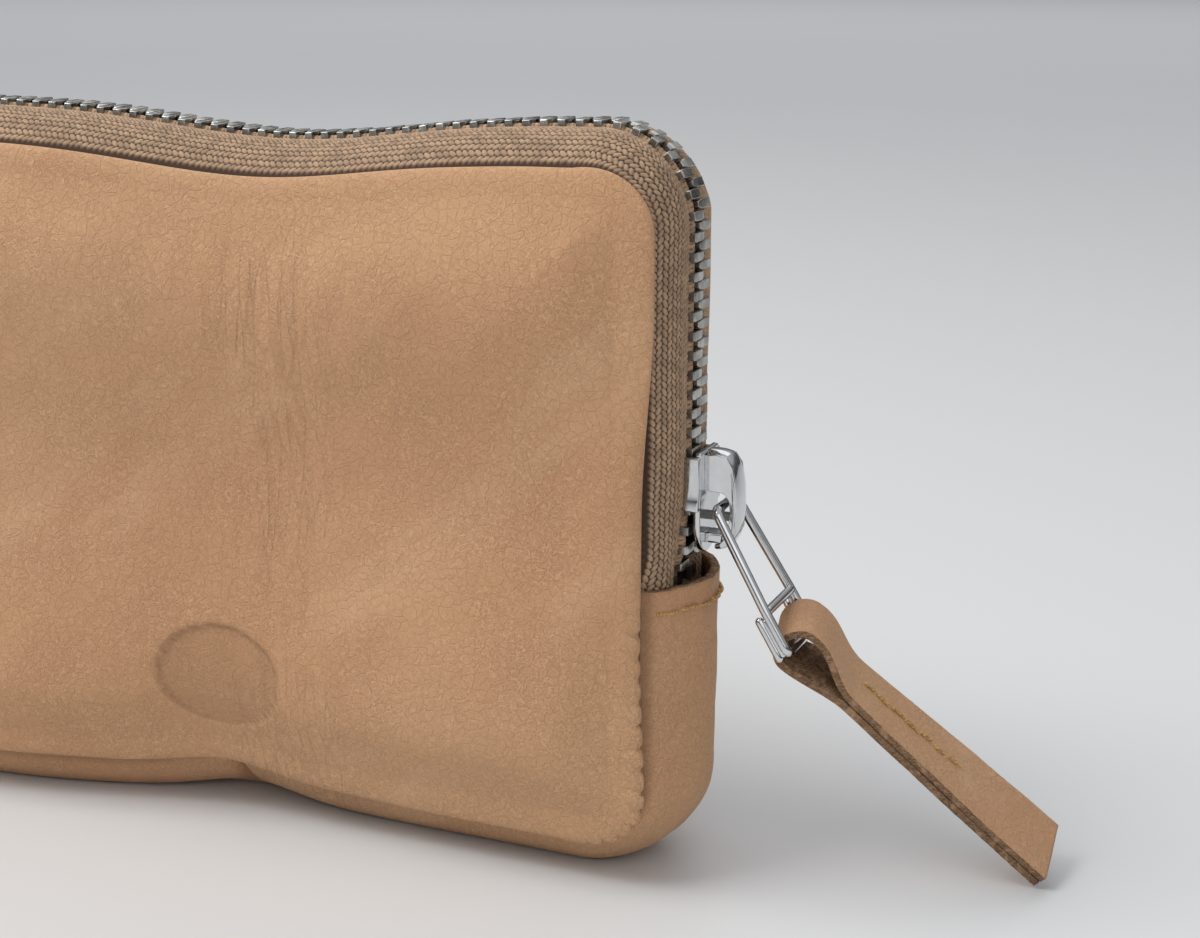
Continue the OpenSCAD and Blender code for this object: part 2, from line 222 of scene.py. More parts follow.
class Outline:
    """The closed line that the zip and the gusset follow, by distance along it."""

    def __init__(self, shape):
        self.shape = shape
        self.straight = HALF_WIDTH - shape.top_corner
        self.base = HALF_WIDTH - shape.bottom_corner
        self.low = BOTTOM_Z + shape.bottom_corner
        self.high = TOP_HEIGHT - shape.top_corner
        run = self.high - self.low
        self.top_arc = shape.top_corner * np.pi / 2
        self.bottom_arc = shape.bottom_corner * np.pi / 2
        stretches = [run, self.top_arc, 2 * self.straight, self.top_arc]
        stretches += [run, self.bottom_arc, 2 * self.base, self.bottom_arc]
        marks = np.cumsum([0] + stretches)
        self.top_right, self.top, self.top_left, self.left = marks[1:5]
        self.bottom_left, self.bottom, self.bottom_right, self.length = marks[5:9]
        self.gusset_right = shape.gusset_end - self.low
        self.gusset_left = self.left + self.high - shape.gusset_end

    def flat(self, s):
        """Points (x, z) of the outline before the sag and the fold."""
        s = np.mod(s, self.length)

        def arc(cx, cz, r, start, begin, length):
            a = np.radians(start) + (s - begin) / length * np.pi / 2
            return cx + r * np.cos(a), cz + r * np.sin(a)

        r, b = self.shape.top_corner, self.shape.bottom_corner
        pieces = [
            (np.full_like(s, HALF_WIDTH), self.low + s),
            arc(self.straight, self.high, r, 0, self.top_right, self.top_arc),
            (self.straight - (s - self.top), np.full_like(s, TOP_HEIGHT)),
            arc(-self.straight, self.high, r, 90, self.top_left, self.top_arc),
            (np.full_like(s, -HALF_WIDTH), self.high - (s - self.left)),
            arc(-self.base, self.low, b, 180, self.bottom_left, self.bottom_arc),
            (-self.base + (s - self.bottom), np.full_like(s, BOTTOM_Z)),
            arc(self.base, self.low, b, 270, self.bottom_right, self.bottom_arc),
        ]
        ends = [self.top_right, self.top, self.top_left, self.left]
        ends += [self.bottom_left, self.bottom, self.bottom_right]
        tests = [s < e for e in ends] + [np.full(s.shape, True)]
        return np.select(tests, [p[0] for p in pieces]), np.select(tests, [p[1] for p in pieces])

    def shaped(self, x, y, z):
        """Flat points with the sag, the fold and the lower left's forward bend."""
        aside = np.sqrt(x * x + FOLD_ROUND**2) - FOLD_ROUND
        fold = self.shape.fold_depth * (0.5 - aside / HALF_WIDTH)
        foot = FOOT_FORWARD * smooth(-x / FOOT_WIDTH) * smooth((FOOT_TOP - z) / FOOT_FADE)
        sag = self.shape.top_sag * bell(x, self.shape.sag_place, SAG_SPREAD)
        return np.stack([x, y + fold - foot, z - sag * smooth((z - SAG_FROM) / SAG_FADE)], -1)

    def point(self, s):
        """Points of the outline as it stands."""
        x, z = self.flat(s)
        return self.shaped(x, np.zeros_like(x), z)

    def frame(self, s):
        """Point, outward normal, direction across to the back, and tangent."""
        s = np.asarray(s, float)
        t = unit(self.point(s + TANGENT_STEP) - self.point(s - TANGENT_STEP))
        b = unit(np.array([0.0, 1.0, 0.0]) - t[..., 1:2] * t)
        return self.point(s), np.cross(b, t), b, t

    def place(self, s, u, v):
        """Point at distance s, u outwards and v across."""
        p, n, b, _ = self.frame(s)
        return p + np.asarray(u)[..., None] * n + np.asarray(v)[..., None] * b

    def drop(self, s, side=0):
        """Depth of the seam below the outline. The front seam is pinched up at the fold."""
        p, n, _, _ = self.frame(s)
        low = n[..., 2] < 0
        pinch = PINCH * bell(p[..., 0], 0, PINCH_SPREAD) if side < 0 else 0
        return SIDE_DROP + (np.where(low, BOTTOM_DROP + pinch, TOP_DROP) - SIDE_DROP) * n[..., 2] ** 2

    def floorward(self, s):
        """From 0 on the sides to 1 where the outline faces the floor."""
        n = self.frame(s)[1]
        return np.where(n[..., 2] < 0, n[..., 2] ** 2, 0)

    def height(self, s):
        """Height on the near side of the zip's two ends."""
        return np.where(s < self.top, self.low + s, self.high - (s - self.left))

    def dip(self, s):
        """The zip's lower ends pass behind the gusset."""
        return -DIP_DEPTH * smooth((self.shape.gusset_end + DIP_ABOVE - self.height(s)) / DIP_RUN)

    def spread(self, s):
        """How far each row is parted below the slider's divider."""
        z = self.low + s
        opened = smooth((SLIDER[2] + PARTING_FROM - z) / PARTING_RUN)
        closing = 1 - CLOSING_SHARE * smooth((self.shape.gusset_end + CLOSING_ABOVE - z) / CLOSING_RUN)
        return np.where(s > self.top, 0, PARTING * opened * closing)


# ---- Mesh tools ----------------------------------------------------------------


def new_object(name, verts, faces, material_ids=None, materials=(), uv=None, values=None):
    """A smooth mesh object from arrays, with an optional flat map and point values."""
    mesh = bpy.data.meshes.new(name)
    mesh.from_pydata(np.asarray(verts).tolist(), [], [list(f) for f in faces])
    mesh.polygons.foreach_set("use_smooth", [True] * len(mesh.polygons))
    if uv is not None:
        layer = mesh.uv_layers.new(name="sheet")
        corner = np.empty(len(mesh.loops), int)
        mesh.loops.foreach_get("vertex_index", corner)
        layer.data.foreach_set("uv", np.asarray(uv)[corner].ravel())
    for key, data in (values or {}).items():
        attribute = mesh.attributes.new(key, "FLOAT", "POINT")
        attribute.data.foreach_set("value", np.asarray(data, float).ravel())
    for m in materials:
        mesh.materials.append(m)
    if material_ids is not None:
        mesh.polygons.foreach_set("material_index", np.asarray(material_ids, np.int32))
    mesh.validate()
    obj = bpy.data.objects.new(name, mesh)
    bpy.context.collection.objects.link(obj)
    return obj


def grid_faces(rows, cols, wrap_cols=False, flip=False):
    """Quads over a grid of rows x cols points."""
    i = np.arange(rows - 1)
    j = np.arange(cols if wrap_cols else cols - 1)
    i, j = np.meshgrid(i, j, indexing="ij")
    after, beside = i + 1, (j + 1) % cols
    corners = [i * cols + j, after * cols + j, after * cols + beside, i * cols + beside]
    quads = np.stack(corners, -1).reshape(-1, 4)
    return quads[:, ::-1] if flip else quads


def loft(name, sections, **rest):
    """A tube through closed sections of equal length, capped at both ends."""
    rows, cols = sections.shape[:2]
    faces = [tuple(f) for f in grid_faces(rows, cols, wrap_cols=True, flip=True)]
    faces.append(tuple(range(cols)))
    faces.append(tuple(range((rows - 1) * cols, rows * cols))[::-1])
    obj = new_object(name, sections.reshape(-1, 3), faces, **rest)
    mesh = bmesh.new()
    mesh.from_mesh(obj.data)
    bmesh.ops.recalc_face_normals(mesh, faces=mesh.faces)
    mesh.to_mesh(obj.data)
    mesh.free()
    return obj


def tube(points, radius, sides):
    """Sections of a round tube along a line, turned as little as possible."""
    points = np.asarray(points, float)
    t = unit(np.gradient(points, axis=0))
    side = np.zeros_like(t)
    start = np.cross(t[0], [0.0, 1.0, 0.0])
    side[0] = unit(start if np.linalg.norm(start) > 0.1 else np.cross(t[0], [1.0, 0.0, 0.0]))
    for i in range(1, len(t)):
        side[i] = unit(side[i - 1] - np.dot(side[i - 1], t[i]) * t[i])
    up = np.cross(t, side)
    a = np.linspace(0, 2 * np.pi, sides, endpoint=False)
    r = np.broadcast_to(np.asarray(radius, float), (len(points),))[:, None, None]
    ring = np.cos(a)[None, :, None] * side[:, None] + np.sin(a)[None, :, None] * up[:, None]
    return points[:, None] + r * ring


def rounded_tube(name, points, radius, sides, **rest):
    """A tube with domed ends."""
    points = np.asarray(points, float)
    start, end = unit(points[0] - points[1]), unit(points[-1] - points[-2])
    dome = np.array([0.98, 0.8, 0.45])
    width = np.sqrt(1 - dome**2)
    before = points[0] + radius * dome[:, None] * start
    after = points[-1] + radius * dome[::-1, None] * end
    path = np.concatenate([before, points, after])
    radii = np.concatenate([radius * width, np.full(len(points), radius), radius * width[::-1]])
    return loft(name, tube(path, radii, sides), **rest)


def rounded_path(corners, radius, steps=6):
    """A line through corners, with each inner corner rounded."""
    corners = np.asarray(corners, float)
    path = [corners[0]]
    for a, b, c in zip(corners[:-2], corners[1:-1], corners[2:]):
        start, end = b + radius * unit(a - b), b + radius * unit(c - b)
        for t in np.linspace(0, 1, steps + 1):
            path.append((1 - t) ** 2 * start + 2 * t * (1 - t) * b + t * t * end)
    path.append(corners[-1])
    return np.array(path)


def join(name, parts):
    """Joins objects into one, which keeps the first one's materials."""
    bpy.ops.object.select_all(action="DESELECT")
    for p in parts:
        p.select_set(True)
    bpy.context.view_layer.objects.active = parts[0]
    if len(parts) > 1:
        bpy.ops.object.join()
    parts[0].name = name
    parts[0].data.name = name
    return parts[0]


def finish_piece(obj, body, slot, *nodes):
    """Rides on a body and stands for CAD nodes, which it hides; the slot is not used."""
    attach(obj, body)
    if nodes:
        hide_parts(*nodes)
    return obj


def thicken(obj, name, thickness, inside=0, rim=0):
    """Gives a sheet its thickness inwards, with the finishes of its inside and its rim."""
    thick = obj.modifiers.new(name, "SOLIDIFY")
    thick.thickness = thickness
    thick.offset = -1
    thick.material_offset = inside
    thick.material_offset_rim = rim


def soften(obj, name, width, segments, degrees):
    """Rounds the edges that are sharper than an angle."""
    soft = obj.modifiers.new(name, "BEVEL")
    soft.width = width
    soft.segments = segments
    soft.limit_method = "ANGLE"
    soft.angle_limit = math.radians(degrees)


def crisp(obj):
    """Keeps large faces flat-looking beside their rounded edges."""
    weigh = obj.modifiers.new("face weighted normals", "WEIGHTED_NORMAL")
    weigh.weight = 80
    weigh.keep_sharp = True
    return obj


def settings():
    """The scene's shape, zip, pull and colour settings."""
    scene = bpy.context.scene
    return scene.pouch_shape, scene.pouch_zip, scene.pouch_pull, scene.pouch_colours


# ---- Materials -----------------------------------------------------------------


class Nodes:
    """A short way to write a material's nodes."""

    def __init__(self, name):
        self.material = bpy.data.materials.new(name)
        self.material.use_nodes = True
        self.tree = self.material.node_tree
        self.shader = self.tree.nodes["Principled BSDF"]
        self.place = self.add("ShaderNodeTexCoord").outputs["Object"]

    def add(self, kind, **options):
        node = self.tree.nodes.new(kind)
        for key, value in options.items():
            setattr(node, key, value)
        return node

    def link(self, source, target):
        self.tree.links.new(source, target)

    def feed(self, node, **inputs):
        """Links or sets inputs by their names, or by their places as i0, i1 and so on."""
        for key, value in inputs.items():
            by_place = key[0] == "i" and key[1:].isdigit()
            socket = node.inputs[int(key[1:]) if by_place else key]
            if isinstance(value, bpy.types.NodeSocket):
                self.link(value, socket)
            else:
                socket.default_value = value
        return node

    def math(self, operation, a, b=0.0):
        node = self.add("ShaderNodeMath", operation=operation)
        return self.feed(node, i0=a, i1=b).outputs[0]

    def noise(self, scale, detail=2.0, roughness=0.5, vector=None):
        node = self.add("ShaderNodeTexNoise")
        self.feed(node, Scale=scale, Detail=detail, Roughness=roughness, Vector=vector or self.place)
        return node.outputs["Fac"]

    def cells(self, scale, vector):
        """Distance to the edge of the nearest cell."""
        node = self.add("ShaderNodeTexVoronoi", feature="DISTANCE_TO_EDGE")
        self.feed(node, Scale=scale, Vector=vector)
        return node.outputs["Distance"]

    def stretch(self, factors, vector=None):
        node = self.add("ShaderNodeMapping")
        return self.feed(node, Vector=vector or self.place, Scale=factors).outputs[0]

    def turned(self, angles):
        node = self.add("ShaderNodeMapping")
        return self.feed(node, Vector=self.place, Rotation=angles).outputs[0]

    def vector_math(self, operation, **inputs):
        node = self.add("ShaderNodeVectorMath", operation=operation)
        return self.feed(node, **inputs).outputs[0]

    def warp(self, vector, scale, amount):
        """The vector, pushed about by noise."""
        node = self.add("ShaderNodeTexNoise")
        self.feed(node, Scale=scale, Detail=2.0, Vector=vector)
        shift = self.vector_math("SUBTRACT", i0=node.outputs["Color"], i1=(0.5,) * 3)
        grow = self.vector_math("SCALE", i0=shift, Scale=amount)
        return self.vector_math("ADD", i0=vector, i1=grow)

    def ramp(self, value, low, high, out_low=0.0, out_high=1.0):
        """Eases from out_low to out_high as the value goes from low to high."""
        node = self.add("ShaderNodeMapRange", interpolation_type="SMOOTHSTEP")
        limits = {"From Min": low, "From Max": high, "To Min": out_low, "To Max": out_high}
        return self.feed(node, Value=value, **limits).outputs[0]

    def blend(self, amount, a, b):
        node = self.add("ShaderNodeMix", data_type="RGBA", blend_type="MIX")
        self.feed(node, i0=amount, i6=a, i7=b)
        return node.outputs[2]

    def bump(self, height, distance, strength=1.0, normal=None):
        node = self.add("ShaderNodeBump")
        self.feed(node, Height=height, Distance=distance, Strength=strength)
        if normal is not None:
            self.link(normal, node.inputs["Normal"])
        return node.outputs[0]

    def shade(self, **inputs):
        """Feeds the shader, with _ for each space in an input's name."""
        for key, value in inputs.items():
            self.feed(self.shader, **{key.replace("_", " "): value})
        return self.material


def rgba(tint, gain=1.0):
    """A tint made darker or brighter, with its alpha."""
    return (tint[0] * gain, tint[1] * gain, tint[2] * gain, 1.0)


# Where the leather is creased by the fold, and how far to each side
CREASED_AT = 0.011
CREASED_REACH = (0.003, 0.016)


def leather_material(colours):
    """Matte tan leather: fine pebbled grain, upright wrinkles at the fold with painted shade in their
    creases, and faint warm clouds.
    """
    n = Nodes("tan_leather")
    cloud = n.noise(26, 4, 0.55)
    tone = n.blend(n.ramp(cloud, 0.38, 0.64), rgba(colours.leather_dark_and_shade), rgba(colours.leather))
    slant = n.stretch((1.0, 1.0, 0.20), n.turned((0.0, math.radians(-52), 0.0)))
    streak = n.noise(95, 4, 0.62, slant)
    tone = n.blend(n.ramp(streak, 0.50, 0.74, 0, 0.55), tone, rgba(colours.leather_pale))
    nap = n.noise(3300, 3, 0.7)
    tone = n.blend(n.ramp(nap, 0.25, 0.75, 0.16, 0.0), tone, rgba(colours.leather_dark_and_shade, 0.6))
    uneven = n.ramp(n.noise(70, 3, 0.6), 0.30, 0.68, 0.35, 1.0)
    cell = n.cells(1900, n.warp(n.stretch((1.0, 1.0, 0.85)), 800, 0.0013))
    ridge = n.math("MULTIPLY", n.ramp(cell, 0.11, 0.0), uneven)
    hollow = n.math("MULTIPLY", n.ramp(cell, 0.08, 0.18), n.ramp(cell, 0.36, 0.20))
    hollow = n.math("MULTIPLY", hollow, uneven)
    wide = n.ramp(n.cells(760, n.warp(n.place, 300, 0.003)), 0.10, 0.0)
    fold_side = n.add("ShaderNodeSeparateXYZ")
    n.link(n.place, fold_side.inputs[0])
    from_fold = n.math("ABSOLUTE", n.math("SUBTRACT", fold_side.outputs[0], CREASED_AT))
    near_fold = n.math("SUBTRACT", 1.0, n.ramp(from_fold, *CREASED_REACH))
    wrinkle_place = n.warp(n.stretch((1.0, 1.0, 0.13)), 110, 0.004)
    wrinkle = n.ramp(n.cells(620, wrinkle_place), 0.13, 0.0)
    wrinkle = n.math("MULTIPLY", wrinkle, n.math("MULTIPLY", near_fold, n.ramp(n.noise(48, 2), 0.38, 0.60)))
    tone = n.blend(n.math("MULTIPLY", hollow, 0.26), tone, rgba(colours.leather_dark_and_shade, 0.60))
    tone = n.blend(n.math("MULTIPLY", ridge, 0.46), tone, rgba(colours.leather_pale, 1.18))
    tone = n.blend(n.math("MULTIPLY", wide, 0.12), tone, rgba(colours.leather_dark_and_shade, 0.55))
    # Painted shade: the wrinkles' creases are painted darker
    tone = n.blend(n.math("MULTIPLY", wrinkle, 0.22), tone, rgba(colours.leather_dark_and_shade, 0.55))
    # A point value darkens the leather: the pressed mark's own darker face and edge on the front panel, and
    # painted shade along the gusset's seams
    pressed_and_seam_shade = n.add("ShaderNodeAttribute", attribute_name="pressed_and_seam_shade").outputs["Fac"]
    tone = n.blend(n.math("MULTIPLY", pressed_and_seam_shade, 0.75), tone, rgba(colours.leather_dark_and_shade, 0.50))
    normal = n.bump(nap, 0.00004, 0.35)
    normal = n.bump(ridge, 0.00005, 0.8, normal)
    normal = n.bump(hollow, 0.00005, -0.6, normal)
    normal = n.bump(wide, -0.00008, 0.6, normal)
    normal = n.bump(wrinkle, -0.00010, 0.8, normal)
    rough = n.ramp(cloud, 0.3, 0.7, 0.60, 0.70)
    return n.shade(Base_Color=tone, Roughness=rough, Normal=normal, Sheen_Weight=0.10, Sheen_Roughness=0.45,
                   Sheen_Tint=rgba((1.0, 0.86, 0.72)), Specular_IOR_Level=0.30)


def raw_edge_material(colours):
    """Cut leather edge and flesh side: fibrous, dull and darker."""
    n = Nodes("raw_leather_edge")
    fibre = n.noise(1900, 4, 0.7, n.stretch((1.0, 1.0, 2.4)))
    layer = n.noise(650, 3, 0.6)
    tone = n.blend(n.ramp(fibre, 0.35, 0.65), rgba(colours.raw_edge, 0.55), rgba(colours.raw_edge, 1.35))
    tone = n.blend(n.ramp(layer, 0.50, 0.68, 0, 0.75), tone, rgba(colours.leather_pale, 0.85))
    normal = n.bump(fibre, 0.00035, 1.0)
    return n.shade(Base_Color=tone, Roughness=0.92, Normal=normal, Specular_IOR_Level=0.15)


def tape_material(colours):
    """Woven tape: pale yarn tops and dark gaps of painted shade, read from the mesh's own weave height."""
    n = Nodes("woven_tape")
    weave = n.add("ShaderNodeAttribute", attribute_name="weave").outputs["Fac"]
    fibre = n.noise(5200, 3, 0.7)
    shade = n.blend(n.ramp(n.noise(700, 2), 0.35, 0.65), rgba(colours.tape, 0.82), rgba(colours.tape, 1.22))
    shade = n.blend(n.ramp(fibre, 0.4, 0.75, 0.0, 0.35), shade, rgba(colours.leather_pale, 0.9))
    # Painted shade: low weave values take the dark gap colour
    tone = n.blend(n.ramp(weave, 0.12, 0.78), rgba(colours.tape_gap_shade), shade)
    normal = n.bump(fibre, 0.00006, 0.6)
    return n.shade(Base_Color=tone, Roughness=0.78, Normal=normal, Sheen_Weight=0.15, Sheen_Roughness=0.4)


def nickel_material(colours):
    """Antique nickel teeth: smooth grey metal with a few darker, slightly yellow spots."""
    n = Nodes("antique_nickel")
    wear = n.noise(260, 3, 0.6)
    tone = n.blend(n.ramp(wear, 0.40, 0.66), rgba(colours.nickel, 0.62), rgba(colours.nickel, 1.15))
    rough = n.ramp(n.noise(500, 3), 0.3, 0.7, 0.20, 0.38)
    normal = n.bump(n.noise(700, 3), 0.00004, 0.5)
    return n.shade(Base_Color=tone, Metallic=1.0, Roughness=rough, Normal=normal)


def chrome_material(colours):
    """Polished plating with faint scuffs and a little grey in its rubbed patches."""
    n = Nodes("polished_plating")
    scuff = n.noise(300, 4, 0.6)
    tone = n.blend(n.ramp(scuff, 0.35, 0.7), rgba(colours.chrome, 0.90), rgba(colours.chrome, 1.02))
    rough = n.ramp(n.noise(700, 4, 0.7), 0.35, 0.75, 0.07, 0.20)
    normal = n.bump(n.noise(240, 2), 0.00004, 0.25)
    return n.shade(Base_Color=tone, Metallic=1.0, Roughness=rough, Normal=normal)


def spring_material(colours):
    """Plain grey spring steel, drawn along its length."""
    n = Nodes("spring_steel")
    drawn = n.noise(900, 3, 0.6, n.stretch((6.0, 6.0, 0.5)))
    tone = n.blend(drawn, rgba(colours.nickel, 0.22), rgba(colours.nickel, 0.48))
    return n.shade(Base_Color=tone, Metallic=1.0, Roughness=n.ramp(drawn, 0.3, 0.7, 0.3, 0.5))


def thread_material(colours):
    """Golden twisted thread with darker ply lines."""
    n = Nodes("golden_thread")
    ply = n.noise(3200, 2, 0.6)
    tone = n.blend(n.ramp(ply, 0.35, 0.65), rgba(colours.thread, 0.6), rgba(colours.thread, 1.25))
    return n.shade(Base_Color=tone, Roughness=0.5, Normal=n.bump(ply, 0.00006, 0.8), Sheen_Weight=0.2)


def floor_material(colours):
    """Plain pale floor with the slightest unevenness."""
    n = Nodes("pale_floor")
    cloud = n.noise(3.0, 2)
    tone = n.blend(cloud, rgba(colours.floor, 0.985), rgba(colours.floor, 1.015))
    return n.shade(Base_Color=tone, Roughness=0.42, Specular_IOR_Level=0.35)


MATERIALS = {}


def material(name):
    """Each finish is made once and shared."""
    makers = {
        "leather": leather_material,
        "raw_edge": raw_edge_material,
        "tape": tape_material,
        "nickel": nickel_material,
        "chrome": chrome_material,
        "spring": spring_material,
        "thread": thread_material,
        "floor": floor_material,
    }
    if name not in MATERIALS:
        MATERIALS[name] = makers[name](settings()[3])
    return MATERIALS[name]


# ---- Leather pieces --------------------------------------------------------------

PANEL_COLUMNS = 320
PANEL_ROWS = 230
EDGE_ROLL = 2.3 * MM
END_CROWDING = 0.12
RIM_STEP = 0.1 * MM
RIM_CHUNK = 64

# The mark pressed into the front panel, and how dark its face and its edge are
MARK_SIZE = (9.6 * MM, 7.4 * MM)
MARK_PLACE = (1.6 * MM, 21.5 * MM)
MARK_DEPTH = 0.5 * MM
MARK_FACE = 0.35
MARK_EDGE = 0.65

# The seam's stitches pull the panel's edge in, below this height and where it faces right
STITCH_TOP = 40 * MM
STITCH_FADE = 6 * MM
STITCH_PULL = 0.6 * MM

# The rolled edge hangs over its seam, and further in three places: (more, from, over)
OVERHANG = 1.1 * MM
OVERHANG_HIGH = (1.5 * MM, 50 * MM, 26 * MM)
OVERHANG_LOW = (0.9 * MM, 34 * MM, 22 * MM)
OVERHANG_UNDER = (0.9 * MM, 2 * MM, 36 * MM)
BACK_OVERHANG = 0.35
LIP_RUN = 1.3 * EDGE_ROLL
# Brings the peak of share * (1 - share)**2 to 1
LIP_GAIN = 6.75

# The puff starts inside the rolled edge, and the dents and creases further in: (from, over)
PUFF = (0.5 * MM, 8 * MM)
INNER = (1.5 * MM, 9 * MM)
# Seeded dents, wide and small: (depth, size)
DENTS = ((0.55 * MM, 55 * MM), (0.16 * MM, 17 * MM))
# The hollow at the fold, and the waves up and down the panel: (rise, place, reach)
CENTRE_HOLLOW = (-0.9 * MM, 2 * MM, 16 * MM)
PANEL_WAVES = (
    (1.4 * MM, 19 * MM, 13 * MM),
    (-1.8 * MM, 51 * MM, 14 * MM),
    (1.4 * MM, 77 * MM, 10 * MM),
)
CREASE_LEAN = 1.5 * MM
CREASE_PITCH = 2.3 * MM
BROAD_CREASE = (0.10 * MM, 6.2 * MM)
# Creases gather right of the middle, and a few at the left: (place, reach, share)
CREASED = (11 * MM, 11 * MM)
CREASED_LEFT = (-30 * MM, 22 * MM, 0.35)


def dense_ends(count):
    """Steps from 0 to 1 that are finer at both ends."""
    t = np.linspace(0, 1, count)
    return t - END_CROWDING * np.sin(2 * np.pi * t)


def panel_patch(line, side):
    """Flat (x, z) points that fill a panel's rim, and the rim as (x, z, outward x, outward z, stitch)."""

    def rim(a, b, count):
        s = a + (b - a) * dense_ends(count)
        x, z = line.flat(s)
        ax, az = line.flat(s + RIM_STEP)
        bx, bz = line.flat(s - RIM_STEP)
        n = unit(np.stack([az - bz, bx - ax], -1))
        low = smooth((STITCH_TOP - z) / STITCH_FADE)
        stitches = stitch_dimples(s, 1.0) * low * smooth((n[:, 0] - 0.2) / 0.4)
        inset = (line.drop(s, side) + SEAM_GAP)[:, None] * n
        return np.concatenate([np.stack([x, z], -1) - inset, n, stitches[:, None]], -1)

    low_right = line.length - line.bottom_arc / 2
    low_left = line.bottom_left + line.bottom_arc / 2
    high_right = line.top_right + line.top_arc / 2
    high_left = line.top_left + line.top_arc / 2
    rims = [rim(low_left, low_right, PANEL_COLUMNS), rim(high_left, high_right, PANEL_COLUMNS),
            rim(low_left, high_left, PANEL_ROWS), rim(low_right, line.length + high_right, PANEL_ROWS)]
    bottom, top, left, right = (r[:, :2] for r in rims)
    u = dense_ends(PANEL_COLUMNS)[None, :, None]
    v = dense_ends(PANEL_ROWS)[:, None, None]
    sides = (1 - u) * left[:, None] + u * right[:, None]
    ends = (1 - v) * bottom[None] + v * top[None]
    corners = (1 - u) * (1 - v) * bottom[0] + u * (1 - v) * bottom[-1]
    corners = corners + (1 - u) * v * top[0] + u * v * top[-1]
    patch = sides + ends - corners
    return patch, np.concatenate(rims)


def nearest_rim(edge, points):
    """Distance from each point to the rim, and the outward direction and stitch pull there."""
    flat = points.reshape(-1, 2)
    best, index = np.full(len(flat), 1.0), np.zeros(len(flat), int)
    for first in range(0, len(edge), RIM_CHUNK):
        gaps = np.linalg.norm(flat[:, None] - edge[None, first:first + RIM_CHUNK, :2], axis=2)
        nearer = gaps.min(1) < best
        best = np.where(nearer, gaps.min(1), best)
        index = np.where(nearer, first + gaps.argmin(1), index)
    shape = points.shape[:2]
    return best.reshape(shape), edge[index, 2:4].reshape(shape + (2,)), edge[index, 4].reshape(shape)


def overhang(x, z, n, stitches):
    """How far the rolled edge hangs over its seam: most at the upper right and along the lower right."""
    right = np.clip(n[..., 0], 0, 1)
    under = np.clip(-n[..., 1], 0, 1)
    high, high_from, high_run = OVERHANG_HIGH
    low, low_from, low_run = OVERHANG_LOW
    below, below_from, below_run = OVERHANG_UNDER
    reach = OVERHANG + high * right * smooth((z - high_from) / high_run)
    reach = reach + low * right * smooth((low_from - z) / low_run)
    reach = reach + below * under * smooth((x - below_from) / below_run)
    return reach - STITCH_PULL * stitches


def panel_height(shape, x, z, d, side):
    """How far the leather stands out of its seam plane: rolled edge, puff, dents and creases."""
    full = LEATHER + shape.crown
    roll = EDGE_ROLL * np.sqrt(np.clip(1 - (1 - np.clip(d / EDGE_ROLL, 0, 1)) ** 2, 0, 1))
    puff = (full - EDGE_ROLL) * (1 - np.exp(-np.maximum(d - PUFF[0], 0) / PUFF[1]))
    inner = smooth((d - INNER[0]) / INNER[1])
    seed = 5 if side < 0 else 15
    (wide, wide_size), (small, small_size) = DENTS
    dents = inner * (wide * ripple(x, z, wide_size, seed) + small * ripple(x, z, small_size, seed + 1))
    rise, place, reach = CENTRE_HOLLOW
    waves = rise * bell(x, place, reach) * inner
    for rise, place, reach in PANEL_WAVES:
        waves = waves + rise * bell(z, place, reach) * inner
    lean = CREASE_LEAN * ripple(x * 0.3, z, 40 * MM, seed + 2, 2)
    across = (x + lean) / CREASE_PITCH
    wave = np.abs(np.sin(np.pi * across + 0.9 * ripple(x, z * 0.25, 7 * MM, seed + 3)))
    left_place, left_reach, left_share = CREASED_LEFT
    creased = bell(x, *CREASED) + left_share * bell(x, left_place, left_reach)
    gate = smooth(0.6 + 0.7 * ripple(x * 1.6, z * 0.5, 22 * MM, seed + 4))
    creases = -shape.crease * (1 - wave) ** 2 * creased * gate * inner
    broad_depth, broad_pitch = BROAD_CREASE
    broad = broad_depth * np.sin(2 * np.pi * (x + 2 * lean) / broad_pitch) * creased * inner
    return roll + puff + dents + waves + creases + broad


def mark_press(x, z):
    """A plain pressed oval: its depth from 0 to 1, and the dark line along its edge."""
    r = np.sqrt(((x - MARK_PLACE[0]) / MARK_SIZE[0]) ** 2 + ((z - MARK_PLACE[1]) / MARK_SIZE[1]) ** 2)
    return smooth((1.0 - r) / 0.05), bell(r, 0.975, 0.03)


def make_panel(line, side, name, node):
    """One puffed panel, whose edge rolls over its seam."""
    shape = line.shape
    patch, edge = panel_patch(line, side)
    d, n, stitches = nearest_rim(edge, patch)
    x, z = patch[..., 0], patch[..., 1]
    height = panel_height(shape, x, z, d, side)
    pressed_and_seam_shade, rim_line = mark_press(x, z) if side < 0 else (0 * x, 0 * x)
    height = height - MARK_DEPTH * pressed_and_seam_shade
    base = shape.seam_half + SEAM_GAP
    share = np.clip(d / LIP_RUN, 0, 1)
    lip = overhang(x, z, n, stitches) * (1 if side < 0 else BACK_OVERHANG)
    out = (LIP_GAIN * lip * share + d) * (1 - share) ** 2
    outer = line.shaped(x + out * n[..., 0], side * (base + height), z + out * n[..., 1])
    obj = new_object(name, outer.reshape(-1, 3), grid_faces(PANEL_ROWS, PANEL_COLUMNS, flip=side < 0),
                     materials=[material("leather"), material("raw_edge")], uv=patch.reshape(-1, 2),
                     values={"pressed_and_seam_shade": MARK_FACE * pressed_and_seam_shade + MARK_EDGE * rim_line})
    thicken(obj, "leather thickness", LEATHER, inside=1, rim=0)
    return finish_piece(obj, "pouch", "leather", node)


